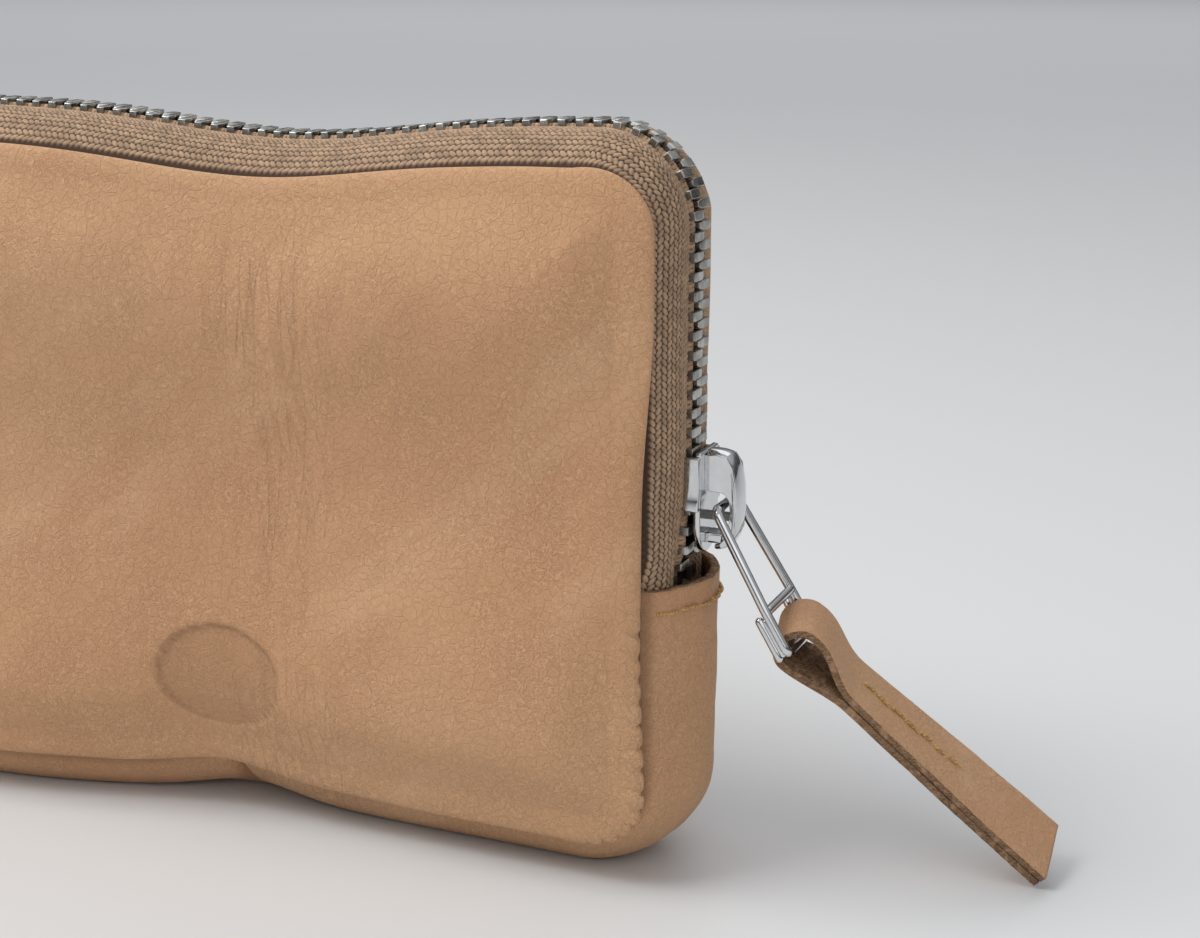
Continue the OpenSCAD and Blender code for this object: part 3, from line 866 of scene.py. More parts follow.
class POUCH_OT_panels(bpy.types.Operator):
    """Makes the two puffed leather panels"""

    bl_idname = "pouch.panels"
    bl_label = "Panels"

    def execute(self, context):
        line = Outline(context.scene.pouch_shape)
        make_panel(line, -1, "front_panel_leather", "front_panel")
        make_panel(line, 1, "back_panel_leather", "back_panel")
        return {"FINISHED"}


STITCH_PITCH = 3 * MM
STITCH_LENGTH = 2.2 * MM
DIMPLE_WIDTH = 0.13

# The gusset near its seams, as shares of the way out to them: it curls in, past a slight swell
SEAM_FROM = 0.86
SEAM_CURL = 0.9 * MM
SEAM_DIMPLE = 0.30 * MM
SEAM_SWELL = (0.25 * MM, 0.80, 0.08)
# Painted shade: from this share out to the seams the gusset is painted darker, where the panels' rolled
# edges shade it
SEAM_SHADE_FROM = 0.89
SEAM_SHADE_RUN = 0.08
# At the fold its front is nipped in a narrow crease and pressed up more widely: (depth, place, reach)
NIP = (2.4 * MM, -0.4 * MM, 1.0 * MM)
PRESS_UP = (2.2 * MM, 0, 11 * MM)
# A tuck along each bottom corner: (depth, place across, reach)
CORNER_TUCK = (0.5 * MM, -2.5 * MM, 1.1 * MM)
# Its two ends bulge a little more over this length
END_RUN = 9 * MM
END_BULGE = 0.10
SOFT_DENT = (0.22 * MM, 16 * MM)
RAGGED = (0.18 * MM, 4 * MM)
RAGGED_RUN = 2 * MM
GUSSET_STEPS = (360, 56)


def stitch_dimples(s, reach):
    """Small hollows where the seam's thread pulls the leather in."""
    phase = np.mod(s, STITCH_PITCH) / STITCH_PITCH
    return reach * (bell(phase, 0, DIMPLE_WIDTH) + bell(1 - phase, 0, DIMPLE_WIDTH))


def gusset_surface(line, s, v, lift=0.0):
    """Points of the gusset's outer face."""
    shape = line.shape
    x = line.point(s)[..., 0]
    seam = np.where(v < 0, line.drop(s, -1), line.drop(s, 1))
    ground = line.floorward(s)
    f = FLAT_HALF * ground
    e = np.maximum(0, np.abs(v) - f) / (shape.seam_half - f)
    out = np.abs(v) / shape.seam_half
    near_seam = np.clip((out - SEAM_FROM) / (1 - SEAM_FROM), 0, 1)
    curl = SEAM_CURL * near_seam**2
    dimple = stitch_dimples(s, SEAM_DIMPLE) * near_seam
    swell = SEAM_SWELL[0] * bell(out, SEAM_SWELL[1], SEAM_SWELL[2])
    nip, nip_place, nip_reach = NIP
    fold = nip * np.exp(-np.abs(x - nip_place) / nip_reach) * smooth((-v - 3 * MM) / (4 * MM)) * ground
    press, press_place, press_reach = PRESS_UP
    fold = fold + press * bell(x, press_place, press_reach) * smooth((-v - 1 * MM) / (6 * MM)) * ground
    soft = SOFT_DENT[0] * ripple(s, v, SOFT_DENT[1], 31) * (1 - ground)
    soft = soft * smooth((shape.seam_half - np.abs(v)) / (3 * MM))
    corner = np.sin(np.pi * np.clip(ground, 0, 1)) ** 2
    tuck = CORNER_TUCK[0] * corner * bell(v, CORNER_TUCK[1], CORNER_TUCK[2])
    height = line.height(np.mod(s, line.length))
    end = smooth((height - (shape.gusset_end - END_RUN)) / END_RUN) * (1 - ground)
    bulge = shape.side_bulge * (1 + END_BULGE * end) * (1 - ground) * (1 - (v / shape.seam_half) ** 2)
    u = LEATHER / 2 + bulge - seam * e * e - curl - dimple + swell * (1 - 0.5 * ground) - fold + soft - tuck
    return line.place(s, u + lift, v)


class POUCH_OT_gusset(bpy.types.Operator):
    """Makes the gusset strip under the bottom and up the lower sides"""

    bl_idname = "pouch.gusset"
    bl_label = "Gusset"

    def execute(self, context):
        line = Outline(context.scene.pouch_shape)
        start, end = line.gusset_left, line.length + line.gusset_right
        at_fold = line.bottom + line.base + np.linspace(-5, 5, 41) * MM
        along = np.unique(np.concatenate([np.linspace(start, end, GUSSET_STEPS[0]), at_fold]))
        across = line.shape.seam_half * (2 * dense_ends(GUSSET_STEPS[1]) - 1)
        s, v = np.meshgrid(along, across, indexing="ij")
        ragged = RAGGED[0] * ripple(v, v * 0, RAGGED[1], 41)
        at_end = smooth((s - end + RAGGED_RUN) / RAGGED_RUN)
        at_start = smooth((start + RAGGED_RUN - s) / RAGGED_RUN)
        s = s + ragged * (at_end - at_start)
        outer = gusset_surface(line, s, v)
        # Painted shade along both seams of the gusset, carried in the same point value as the front panel's
        # pressed mark
        seam_shade = 0.9 * smooth((np.abs(v) / line.shape.seam_half - SEAM_SHADE_FROM) / SEAM_SHADE_RUN)
        obj = new_object("gusset_leather", outer.reshape(-1, 3), grid_faces(*s.shape, flip=True),
                         materials=[material("leather"), material("raw_edge")],
                         uv=np.stack([s, v], -1).reshape(-1, 2), values={"pressed_and_seam_shade": seam_shade})
        thicken(obj, "leather thickness", LEATHER, inside=1, rim=1)
        finish_piece(obj, "pouch", "leather", "gusset")
        return {"FINISHED"}


# ---- Zip -------------------------------------------------------------------------

WEAVE_STEP = 0.12 * MM
KNOT_LONG = 0.92 * MM
KNOT_WIDE = 0.78 * MM
KNOTS_FROM = 6.0 * MM
WEAVE_DEPTH = 0.30 * MM
TAPE_PUFF = 0.8 * MM
TUCK_PUFF = 1.3 * MM
TAPE_CLEAR = 0.05 * MM
ROLL_IN = 1.2 * MM
UNDER_STEP = 10
BEAD_STEP = 0.22 * MM
BEAD_SIDES = 16
BEAD_WRAP = 0.62 * MM
SINK_FROM = 2.5 * MM


def tape_sink(line, s, v):
    """How far the tape falls away from the chain towards its seam."""
    return line.drop(s, 1) * (np.maximum(0, v - SINK_FROM) / (line.shape.seam_half - SINK_FROM)) ** 1.6


def weave(s, v, yarn):
    """Height from 0 to 1 of the yarns: long slanted ones by the teeth, knotted columns by the seam."""
    wander = 0.24 * yarn * ripple(s, v, 2.2 * MM, 53, 2)
    strand = np.abs(np.sin(np.pi * (s + 0.95 * v + wander) / (1.25 * yarn))) ** 0.7
    strand = strand * (1 - 0.55 * np.abs(np.cos(np.pi * v / (1.5 * yarn))) ** 6)
    place = v / KNOT_WIDE
    column = np.floor(place)
    inside = place - column - 0.5
    slant = np.where(np.mod(column, 2) < 1, 1.0, -1.0)
    turn = (s + wander) / KNOT_LONG + 0.5 * np.mod(column, 2) + 0.7 * slant * inside
    along = turn - np.round(turn)
    knot = np.sqrt(np.clip(1 - (inside / 0.53) ** 2 - (along / 0.52) ** 2, 0, 1))
    return np.where(v < KNOTS_FROM, strand, knot)


def make_tape(line, zip_shape, side, name, node):
    """One woven tape: a fine outer face and a coarse one under it."""
    start, end = line.gusset_right - TAPE_TUCK, line.gusset_left + TAPE_TUCK
    along = np.linspace(start, end, int((end - start) / WEAVE_STEP))
    inner = zip_shape.bead_place + zip_shape.bead + TAPE_CLEAR
    share = np.linspace(0, 1, int((line.shape.seam_half - inner) / WEAVE_STEP))
    s, t = np.meshgrid(along, share, indexing="ij")
    gap = inner + line.spread(s)
    v = gap + t * (line.shape.seam_half - gap)
    height = weave(s, v, zip_shape.yarn)
    roll_in = ROLL_IN * smooth((t - 0.93) / 0.07)
    upward = line.frame(s)[1][..., 2] ** 2
    puff = TAPE_PUFF * (1 if side < 0 else 0.25 + 0.75 * upward)
    puff = puff + TUCK_PUFF * smooth((line.shape.gusset_end + 5 * MM - line.height(s)) / (6 * MM))
    puff = (puff + 0.25 * MM * ripple(s, v, 30 * MM, 61 + side)) * np.sin(np.pi * t)
    knots = WEAVE_DEPTH * (height - 0.7)
    u = zip_shape.tape / 2 - tape_sink(line, s, v) + line.dip(s) + knots - roll_in + puff
    outer = line.place(s, u, side * v)
    # Painted shade: the weave value fades near the seam, painting the tape darker where it runs under the
    # panel's rolled edge
    shaded = height * (1 - 0.8 * smooth((t - 0.90) / 0.08))
    obj = new_object(name, outer.reshape(-1, 3), grid_faces(*s.shape, flip=side > 0),
                     materials=[material("tape")], uv=np.stack([s, v], -1).reshape(-1, 2),
                     values={"weave": shaded})
    coarse = (slice(None, None, UNDER_STEP),) * 2
    sc, vc = s[coarse], v[coarse]
    below = -tape_sink(line, sc, vc) - zip_shape.tape / 2 + line.dip(sc) - roll_in[coarse] + puff[coarse]
    back = line.place(sc, below, side * vc)
    under = new_object(name + "_under", back.reshape(-1, 3), grid_faces(*back.shape[:2], flip=side < 0),
                       materials=[material("tape")], uv=np.stack([sc, vc], -1).reshape(-1, 2),
                       values={"weave": np.full(back.shape[:2], 0.8)})
    return finish_piece(join(name, [obj, under]), "pouch", "tape", node)


def make_bead(line, zip_shape, side, name, node):
    """The cord in the tape's edge, ribbed where the tape's yarns wrap it."""
    start, end = line.gusset_right - TAPE_TUCK, line.gusset_left + TAPE_TUCK
    s = np.linspace(start, end, int((end - start) / BEAD_STEP))
    a = np.linspace(0, 2 * np.pi, BEAD_SIDES, endpoint=False)
    s, a = np.meshgrid(s, a, indexing="ij")
    wrap = np.abs(np.sin(np.pi * s / BEAD_WRAP + 0.8 * a)) ** 0.7
    r = zip_shape.bead * (0.9 + 0.1 * wrap)
    across = side * (zip_shape.bead_place + line.spread(s)) + r * np.cos(a)
    pts = line.place(s, line.dip(s) + r * np.sin(a), across)
    # Painted shade: the troughs between the wraps take the tape's dark gap colour
    obj = loft(name, pts, materials=[material("tape")], uv=np.stack([s, a * MM], -1).reshape(-1, 2),
               values={"weave": wrap})
    return finish_piece(obj, "pouch", "tape", node)


class POUCH_OT_tapes(bpy.types.Operator):
    """Makes the two woven tapes and the bead cords in their edges"""

    bl_idname = "pouch.tapes"
    bl_label = "Tapes"

    def execute(self, context):
        line = Outline(context.scene.pouch_shape)
        zip_shape = context.scene.pouch_zip
        for side, word in ((-1, "front"), (1, "back")):
            make_tape(line, zip_shape, side, word + "_tape_weave", word + "_tape")
            make_bead(line, zip_shape, side, word + "_bead_wrap", word + "_bead_cord")
        return {"FINISHED"}


TOOTH_HEAD = -0.7 * MM
TOOTH_BEVEL = 0.09 * MM
FIRST_TOOTH = 1.6 * MM
TOOTH_LEAN = 0.03
TOOTH_SHIFT = 0.03 * MM


def tooth_mesh(zip_shape):
    """One tooth of the back row: (verts, faces) in out, across and along."""
    half_w, half_h = zip_shape.tooth / 2, TOOTH_HEIGHT / 2
    heel = zip_shape.chain_half
    # (across, share of the width, share of the height) from head to heel
    stations = [
        (TOOTH_HEAD, 0.72, 0.80),
        (TOOTH_HEAD + 0.4 * MM, 1.0, 0.96),
        (0.6 * MM, 1.12, 1.0),
        (heel - 0.3 * MM, 1.12, 1.0),
        (heel, 1.0, 0.92),
    ]
    mesh = bmesh.new()
    rings = []
    for v, w, h in stations:
        signs = ((1, -1), (1, 1), (-1, 1), (-1, -1))
        rings.append([mesh.verts.new((u * half_h * h, v, k * half_w * w)) for u, k in signs])
    for a, b in zip(rings[:-1], rings[1:]):
        for i in range(4):
            j = (i + 1) % 4
            mesh.faces.new((a[i], b[i], b[j], a[j]))
    mesh.faces.new(rings[0])
    mesh.faces.new(rings[-1][::-1])
    mesh.normal_update()
    edges = [e for e in mesh.edges if e.calc_face_angle(0) > 0.6]
    bmesh.ops.bevel(mesh, geom=edges, offset=TOOTH_BEVEL, segments=2, affect="EDGES", profile=0.6)
    bmesh.ops.recalc_face_normals(mesh, faces=mesh.faces)
    verts = np.array([v.co for v in mesh.verts])
    mesh.verts.index_update()
    faces = [[v.index for v in f.verts] for f in mesh.faces]
    mesh.free()
    return verts, faces


def tooth_rows(line, zip_shape, side):
    """Distances of one row's teeth along the zip."""
    first = line.gusset_right + FIRST_TOOTH
    count = int((line.gusset_left - FIRST_TOOTH - first) / zip_shape.pitch)
    shift = zip_shape.pitch / 2 if side > 0 else 0
    return first + shift + np.arange(count) * zip_shape.pitch


def make_teeth(line, zip_shape, side, name, node):
    """One row of teeth, each a little off its place."""
    verts, faces = tooth_mesh(zip_shape)
    draw = np.random.default_rng(7 + side)
    all_verts, all_faces = [], []
    for s in tooth_rows(line, zip_shape, side):
        p, n, across, t = line.frame(s)
        along = t + draw.normal(0, TOOTH_LEAN) * n
        u = verts[:, :1] + line.dip(s) + draw.normal(0, TOOTH_SHIFT)
        v = side * (verts[:, 1:2] + line.spread(s) + draw.normal(0, TOOTH_SHIFT))
        w = verts[:, 2:]
        start = sum(len(a) for a in all_verts)
        all_verts.append(p + u * n + v * across + w * along)
        all_faces += [[start + i for i in (f if side > 0 else f[::-1])] for f in faces]
    obj = new_object(name, np.concatenate(all_verts), all_faces, materials=[material("nickel")])
    return finish_piece(crisp(obj), "pouch", "teeth_nickel", node)


class POUCH_OT_teeth(bpy.types.Operator):
    """Makes the two rows of metal teeth, and finishes the stops"""

    bl_idname = "pouch.teeth"
    bl_label = "Teeth"

    def execute(self, context):
        line = Outline(context.scene.pouch_shape)
        for side, word in ((-1, "front"), (1, "back")):
            make_teeth(line, context.scene.pouch_zip, side, word + "_teeth_row", word + "_teeth")
        for node in ("top_stops", "bottom_stop"):
            dress(node, "nickel", 0.12 * MM)
        return {"FINISHED"}


def dress(node, finish, bevel):
    """Gives a CAD node its finish and softened edges."""
    obj = frame["nodes"][node]
    obj.data.materials.clear()
    obj.data.materials.append(material(finish))
    soften(obj, "softened edges", bevel, 2, 40)


# ---- Slider ----------------------------------------------------------------------

SLIDER_HALF = 6.8 * MM
NOSE = 3.9 * MM
# Lugs as (across from, across to, along from, along to)
TAIL_LUG = (-1.9 * MM, 1.9 * MM, 2.6 * MM, 5.6 * MM)
NOSE_LUG = (-1.5 * MM, 1.5 * MM, -5.4 * MM, -4 * MM)
# Divider between the rows of teeth, as (across, along) in millimetres
DIVIDER = [(0, -3.2), (-0.8, -5), (-0.8, -6.3), (0.8, -6.3), (0.8, -5)]


def slider_point(u, v, w):
    """A point out of, across and along the slider."""
    return SLIDER + np.array([u, v, w])


def prism(name, outline, u0, u1, bevel, segments=3, upright=False):
    """A plate with rounded edges, from (across, along) points, or upright from (out, along) points."""

    def corner(a, b, depth):
        return slider_point(a, depth, b) if upright else slider_point(depth, a, b)

    mesh = bmesh.new()
    low = [mesh.verts.new(corner(a, b, u0)) for a, b in outline]
    high = [mesh.verts.new(corner(a, b, u1)) for a, b in outline]
    mesh.faces.new(low[::-1])
    mesh.faces.new(high)
    count = len(outline)
    for i in range(count):
        j = (i + 1) % count
        mesh.faces.new((low[i], low[j], high[j], high[i]))
    bmesh.ops.recalc_face_normals(mesh, faces=mesh.faces)
    edges = [e for e in mesh.edges if e.calc_face_angle(0) > 0.7]
    bmesh.ops.bevel(mesh, geom=edges, offset=bevel, segments=segments, affect="EDGES", profile=0.5)
    data = bpy.data.meshes.new(name)
    mesh.to_mesh(data)
    mesh.free()
    data.polygons.foreach_set("use_smooth", [True] * len(data.polygons))
    data.materials.append(material("chrome"))
    obj = bpy.data.objects.new(name, data)
    bpy.context.collection.objects.link(obj)
    return obj


def plate_outline(steps=18):
    """The slider's plate: straight at the tail, round at the nose, a little wider at the shoulders."""
    centre = NOSE - SLIDER_HALF
    tail = NOSE - 0.25 * MM
    nose = [(NOSE * math.cos(a), centre + NOSE * math.sin(a)) for a in np.linspace(0, -math.pi, steps)]
    right = [(tail, SLIDER_HALF), (tail, 2 * MM), (NOSE, 0)]
    left = [(-NOSE, 0), (-tail, 2 * MM), (-tail, SLIDER_HALF)]
    return right + nose + left


def box_outline(v0, v1, w0, w1):
    """A rectangle."""
    return [(v0, w0), (v1, w0), (v1, w1), (v0, w1)]


def flange_outline(side):
    """A flange that flares a little towards the shoulder."""
    inside, outside = 3.6 * MM, 4.4 * MM
    foot, flare, tail = -0.7 * MM, 0.35 * MM, SLIDER_HALF - 0.5 * MM
    points = [
        (inside, foot),
        (outside + flare, foot),
        (outside + flare * 0.6, foot + 1.4 * MM),
        (outside, foot + 2.6 * MM),
        (outside - 0.1 * MM, tail),
        (inside - 0.1 * MM, tail),
        (inside, foot + 2.4 * MM),
    ]
    points = [(side * v, w) for v, w in points]
    return points if side > 0 else points[::-1]


class POUCH_OT_slider(bpy.types.Operator):
    """Makes the slider's body and cap, and finishes the lock inside"""

    bl_idname = "pouch.slider"
    bl_label = "Slider"

    def execute(self, context):
        top = CHANNEL / 2
        lug_foot = top + PLATE - 0.2 * MM
        divider = [(v * MM, w * MM) for v, w in DIVIDER]
        cheek = [(u * MM, w * MM) for u, w in CAP_CHEEK]
        parts = [
            prism("slider_top", plate_outline(), top, top + PLATE, 0.28 * MM),
            prism("slider_bottom", plate_outline(), -top - PLATE, -top, 0.28 * MM),
            prism("slider_divider", divider, -top - 0.1 * MM, top + 0.1 * MM, 0.15 * MM),
            prism("slider_tail_lug", box_outline(*TAIL_LUG), lug_foot, 5.5 * MM, 0.3 * MM),
            prism("slider_nose_lug", box_outline(*NOSE_LUG), lug_foot, 5.0 * MM, 0.35 * MM),
        ]
        rim = top + PLATE - 0.02 * MM
        for side in (-1, 1):
            inside, outside = side * 1.75 * MM, side * 2.2 * MM
            parts.append(prism("slider_cheek", cheek, inside, outside, 0.12 * MM, 2, upright=True))
            parts.append(prism("slider_flange", flange_outline(side), 0.5 * MM, rim, 0.22 * MM))
            parts.append(prism("slider_flange", flange_outline(side), -rim, -1.1 * MM, 0.22 * MM))
        finish_piece(crisp(join("slider_casting", parts)), "slider", "slider_chrome", "slider_body")
        finish_piece(crisp(make_cap()), "slider", "slider_chrome", "slider_cap")
        dress("lock_spring", "spring", 0.06 * MM)
        dress("lock_pawl", "spring", 0.12 * MM)
        return {"FINISHED"}


# Cheek under each side of the cap as (out, along) in millimetres, with the ring's window below it
CAP_CHEEK = [
    (2.6, 6.3), (4.2, 6.5), (5.5, 6.2), (6.4, 4.9), (6.9, 2.0), (7.0, -1.0), (6.8, -3.6), (6.1, -5.1),
    (5.0, -5.9), (4.7, -5.3), (5.5, -4.4), (5.9, -3.0), (6.1, -1.0), (5.9, 0.6), (5.2, 1.5), (2.6, 1.7),
]

# Ridge of the cap as (out, along, half width) in millimetres, from its tail over the top to its nose
CAP_RIDGE = [
    (2.7, 6.9, 1.7), (4.4, 6.9, 1.95), (5.8, 6.5, 2.1), (6.7, 5.0, 2.25), (7.2, 2.0, 2.4),
    (7.3, -1.0, 2.4), (7.1, -3.6, 2.3), (6.4, -5.3, 2.1), (5.2, -6.2, 1.75), (3.9, -6.4, 1.4),
]
CAP_PLATE = 0.6 * MM


def make_cap():
    """The stamped cap: a curved strip whose long edges turn down a little."""
    ridge = np.array(CAP_RIDGE) * MM
    steps = np.linspace(0, len(ridge) - 1, 46)
    u, w, half = (np.interp(steps, np.arange(len(ridge)), ridge[:, i]) for i in range(3))
    for _ in range(6):
        u[1:-1] = (u[:-2] + 2 * u[1:-1] + u[2:]) / 4
        w[1:-1] = (w[:-2] + 2 * w[1:-1] + w[2:]) / 4
    normal = unit(np.stack([-np.gradient(w), np.gradient(u)], -1))
    across = np.linspace(-1, 1, 17)
    turned = 0.55 * MM * np.abs(across) ** 3.2
    pts = np.empty((len(u), len(across), 3))
    for i, a in enumerate(across):
        uu = u - normal[:, 0] * turned[i]
        ww = w - normal[:, 1] * turned[i]
        pts[:, i] = SLIDER + np.stack([uu, a * half, ww], -1)
    faces = grid_faces(*pts.shape[:2])
    obj = new_object("slider_cap_shell", pts.reshape(-1, 3), faces, materials=[material("chrome")])
    thicken(obj, "plate thickness", CAP_PLATE)
    soften(obj, "rounded rim", 0.16 * MM, 3, 50)
    return obj


# ---- Pull ------------------------------------------------------------------------

PIN_HALF = 4.3 * MM
END_HALF = 5.7 * MM
CROSS_AT = 14.3 * MM
RIB = 1.3 * MM
RING_CORNER = 1.1 * MM
RING_DOWN = unit(END_BAR - PIN)
RING_LENGTH = float(np.linalg.norm(END_BAR - PIN))
RING_UNDER = np.array([RING_DOWN[2], 0.0, -RING_DOWN[0]])


def ring_point(along, across, under=0.0):
    """A point of the ring: from its pin towards the end bar, across, and under it."""
    return PIN + along * RING_DOWN + np.array([0.0, across, 0.0]) + under * RING_UNDER


class POUCH_OT_pull_ring(bpy.types.Operator):
    """Makes the cast ring that hangs from the slider's crown"""

    bl_idname = "pouch.pull_ring"
    bl_label = "Pull ring"

    def execute(self, context):
        r = context.scene.pouch_pull.bar
        finish = {"materials": [material("chrome")], "sides": 18}
        half = [(0, 0), (0, -PIN_HALF), (CROSS_AT, -END_HALF), (RING_LENGTH, -END_HALF)]
        corners = half + [(along, -across) for along, across in half[::-1]]
        frame_path = rounded_path([ring_point(*c) for c in corners], RING_CORNER, 10)
        parts = [rounded_tube("ring_frame", frame_path, r, **finish)]
        cross = [ring_point(CROSS_AT, a * END_HALF) for a in np.linspace(-1, 1, 9)]
        parts.append(rounded_tube("ring_cross", cross, r * 0.95, **finish))
        for side in (-1, 1):
            places = np.linspace(CROSS_AT + 0.7 * MM, RING_LENGTH, 7)
            rib = [ring_point(a, side * END_HALF, RIB) for a in places]
            parts.append(rounded_tube("ring_rib", rib, r * 0.93, **finish))
            places = np.linspace(CROSS_AT + 1.0 * MM, RING_LENGTH - 0.2 * MM, 7)
            web = [ring_point(a, side * END_HALF, RIB / 2) for a in places]
            parts.append(rounded_tube("ring_web", web, r * 0.62, **finish))
        finish_piece(join("pull_ring_casting", parts), "ring", "slider_chrome", "pull_ring")
        return {"FINISHED"}


TAB_TURN = math.radians(14)
TAB_SKIN = 1.15 * MM
TAB_GAP = 0.05 * MM
LOOP_BACK = 3.4 * MM
LOOP_HALF = 1.9 * MM
LOOP_END = 9 * MM
LOOP_SWELL = 0.9 * MM
FOLD_HALF_WIDTH = 4.5 * MM
FOLD_SHIFT = np.array([0, 0.45 * MM, 0])
TAB_DIRECTION = unit(np.array([31.2, 11.3, -29.4]))
TAB_SIDE = unit(np.array([0.0, 1.0, 0.0]) - TAB_DIRECTION[1] * TAB_DIRECTION)
TAB_UP = np.cross(TAB_DIRECTION, TAB_SIDE)


def tab_place(pull, along, up, across):
    """A point of the tab, which turns gently along its length."""
    along, up, across = (np.asarray(a, float)[..., None] for a in (along, up, across))
    turn = TAB_TURN * smooth(along / pull.tab_length)
    out = up * (np.cos(turn) * TAB_UP - np.sin(turn) * TAB_SIDE)
    aside = across * (np.cos(turn) * TAB_SIDE + np.sin(turn) * TAB_UP)
    return END_BAR + FOLD_SHIFT + along * TAB_DIRECTION + out + aside


def tab_open(along):
    """Half the gap between the tab's two layers."""
    return TAB_GAP + LOOP_HALF * (1 - smooth((along + 0.5 * MM) / (LOOP_END + 0.5 * MM)))


def loop_swell(along):
    """How much further the upper layer arches over the ring's end bar."""
    return LOOP_SWELL * bell(along, 1.5 * MM, 4.5 * MM)


def tab_half(pull, along):
    """Half the tab's width, which flares from the fold."""
    return FOLD_HALF_WIDTH + (pull.tab_width / 2 - FOLD_HALF_WIDTH) * smooth(along / (8 * MM))


def tab_route(pull):
    """The strip's middle line as (along, up), from the lower tip round the fold to the upper tip."""
    centre = -LOOP_BACK + TAB_SKIN + LOOP_HALF
    down = np.linspace(pull.tab_length, centre, 130)
    r = tab_open(centre) + TAB_SKIN / 2
    a = np.linspace(0, np.pi, 40)[1:-1]
    lower = np.stack([down, -tab_open(down) - TAB_SKIN / 2], -1)
    turn = np.stack([centre - r * np.sin(a), -r * np.cos(a)], -1)
    turn[:, 1] += loop_swell(centre) * smooth(a / np.pi)
    back = down[::-1]
    upper = np.stack([back, tab_open(back) + TAB_SKIN / 2 + loop_swell(back)], -1)
    return np.concatenate([lower, turn, upper])


class POUCH_OT_tab(bpy.types.Operator):
    """Makes the folded leather tab, with its rough cut edges"""

    bl_idname = "pouch.tab"
    bl_label = "Leather tab"

    def execute(self, context):
        pull = context.scene.pouch_pull
        route = tab_route(pull)
        heading = unit(np.gradient(route, axis=0))
        outward = np.stack([-heading[:, 1], heading[:, 0]], -1)
        half = tab_half(pull, np.maximum(route[:, 0], 0))
        distance = np.concatenate([[0], np.cumsum(np.linalg.norm(np.diff(route, axis=0), axis=1))])
        half_face = np.array([0.1, 0.3, 0.5, 0.7, 0.86, 0.95, 0.985, 1])
        face = np.concatenate([-half_face[::-1], half_face])
        edge = np.array([0.6, 0.2, -0.2, -0.6])
        across = np.concatenate([face, np.ones(4), face[::-1], -np.ones(4)])
        depth = np.concatenate([np.ones(16), edge, -np.ones(16), edge[::-1]])
        d, a = np.meshgrid(distance, across, indexing="ij")
        k = np.meshgrid(distance, depth, indexing="ij")[1]
        rounding = np.where(np.abs(a) > 0.94, (np.abs(a) - 0.94) / 0.06, 0) ** 2
        rim = np.abs(a) > 0.99
        fray = 0.10 * MM * ripple(d, k * MM, 1.1 * MM, 71) + 0.05 * MM * ripple(d, k * MM, 0.4 * MM, 72)
        fray = np.where(rim, fray, 0)
        soft = 0.12 * MM * ripple(d, a * 5 * MM, 12 * MM, 73)
        thick = k * (TAB_SKIN / 2 - np.where(k > 0, 0.16, 0.05) * MM * rounding)
        soft = soft * np.sign(route[:, 1:]) * smooth((route[:, :1] - 8 * MM) / (10 * MM))
        along = route[:, :1] + outward[:, :1] * thick
        up = route[:, 1:] + outward[:, 1:] * thick + soft
        side = a * half[:, None] + np.sign(a) * fray
        pts = tab_place(pull, along, up, side)
        column_is_edge = (np.abs(across) > 0.99) & (np.abs(np.roll(across, -1)) > 0.99)
        column_is_inside = (depth < 0) & (np.roll(depth, -1) < 0)
        rough = np.tile(column_is_edge | column_is_inside, len(distance) - 1)
        ids = np.concatenate([rough.astype(int), [1, 1]])
        finishes = [material("leather"), material("raw_edge")]
        obj = loft("pull_tab_leather", pts, materials=finishes, material_ids=ids)
        finish_piece(obj, "tab", "leather", "pull_tab")
        return {"FINISHED"}


# ---- Thread ------------------------------------------------------------------------

THREAD = 0.29 * MM
TAB_STITCH_FROM = 9.8 * MM
TAB_STITCH_PITCH = 2.5 * MM
TAB_STITCH_LENGTH = 2.4 * MM
END_STITCHES = 7


def stitch(a, b, sink):
    """One stitch: two plies twisted together, arched a little and sunk at both ends."""
    t = np.linspace(0, 1, 15)[:, None]
    line = (1 - t) * a + t * b + sink * (2 * t - 1) ** 4
    ahead = unit(b - a)
    side = unit(np.cross(ahead, sink))
    up = np.cross(side, ahead)
    twist = t * np.pi * 3.2
    parts = []
    for start in (0, np.pi):
        ply = line + 0.42 * THREAD * (np.cos(twist + start) * side + np.sin(twist + start) * up)
        parts.append(rounded_tube("stitch", ply, THREAD * 0.62, sides=8, materials=[material("thread")]))
    return parts


def tab_stitches(pull):
    """Stitches on both faces of the tab, which lean to and fro."""
    lift = TAB_GAP + TAB_SKIN + 0.7 * THREAD
    parts = []
    for i in range(pull.stitches):
        for up in (-1, 1):
            start = TAB_STITCH_FROM + i * TAB_STITCH_PITCH
            slant = (0.25 * (-1) ** i) / 2.2
            ends = [tab_place(pull, start + d, up * lift, slant * d) for d in (0, TAB_STITCH_LENGTH)]
            sink = -up * 0.28 * MM * TAB_UP
            parts += stitch(ends[0], ends[1], sink)
    return parts


def seam_stitches(line, side):
    """Thread in the groove between a panel's rolled edge and the zip or gusset."""
    count = int(line.length // STITCH_PITCH)
    pitch = line.length / count
    parts = []
    for i in range(count):
        s = np.array([i * pitch + 0.4 * MM, i * pitch + STITCH_LENGTH])
        depth = -0.25 * MM - line.drop(s, side)
        a, b = line.place(s, depth, side * np.full(2, line.shape.seam_half + 0.6 * MM))
        n = line.frame(s[0])[1]
        parts += stitch(a, b, -0.5 * MM * n)
    return parts


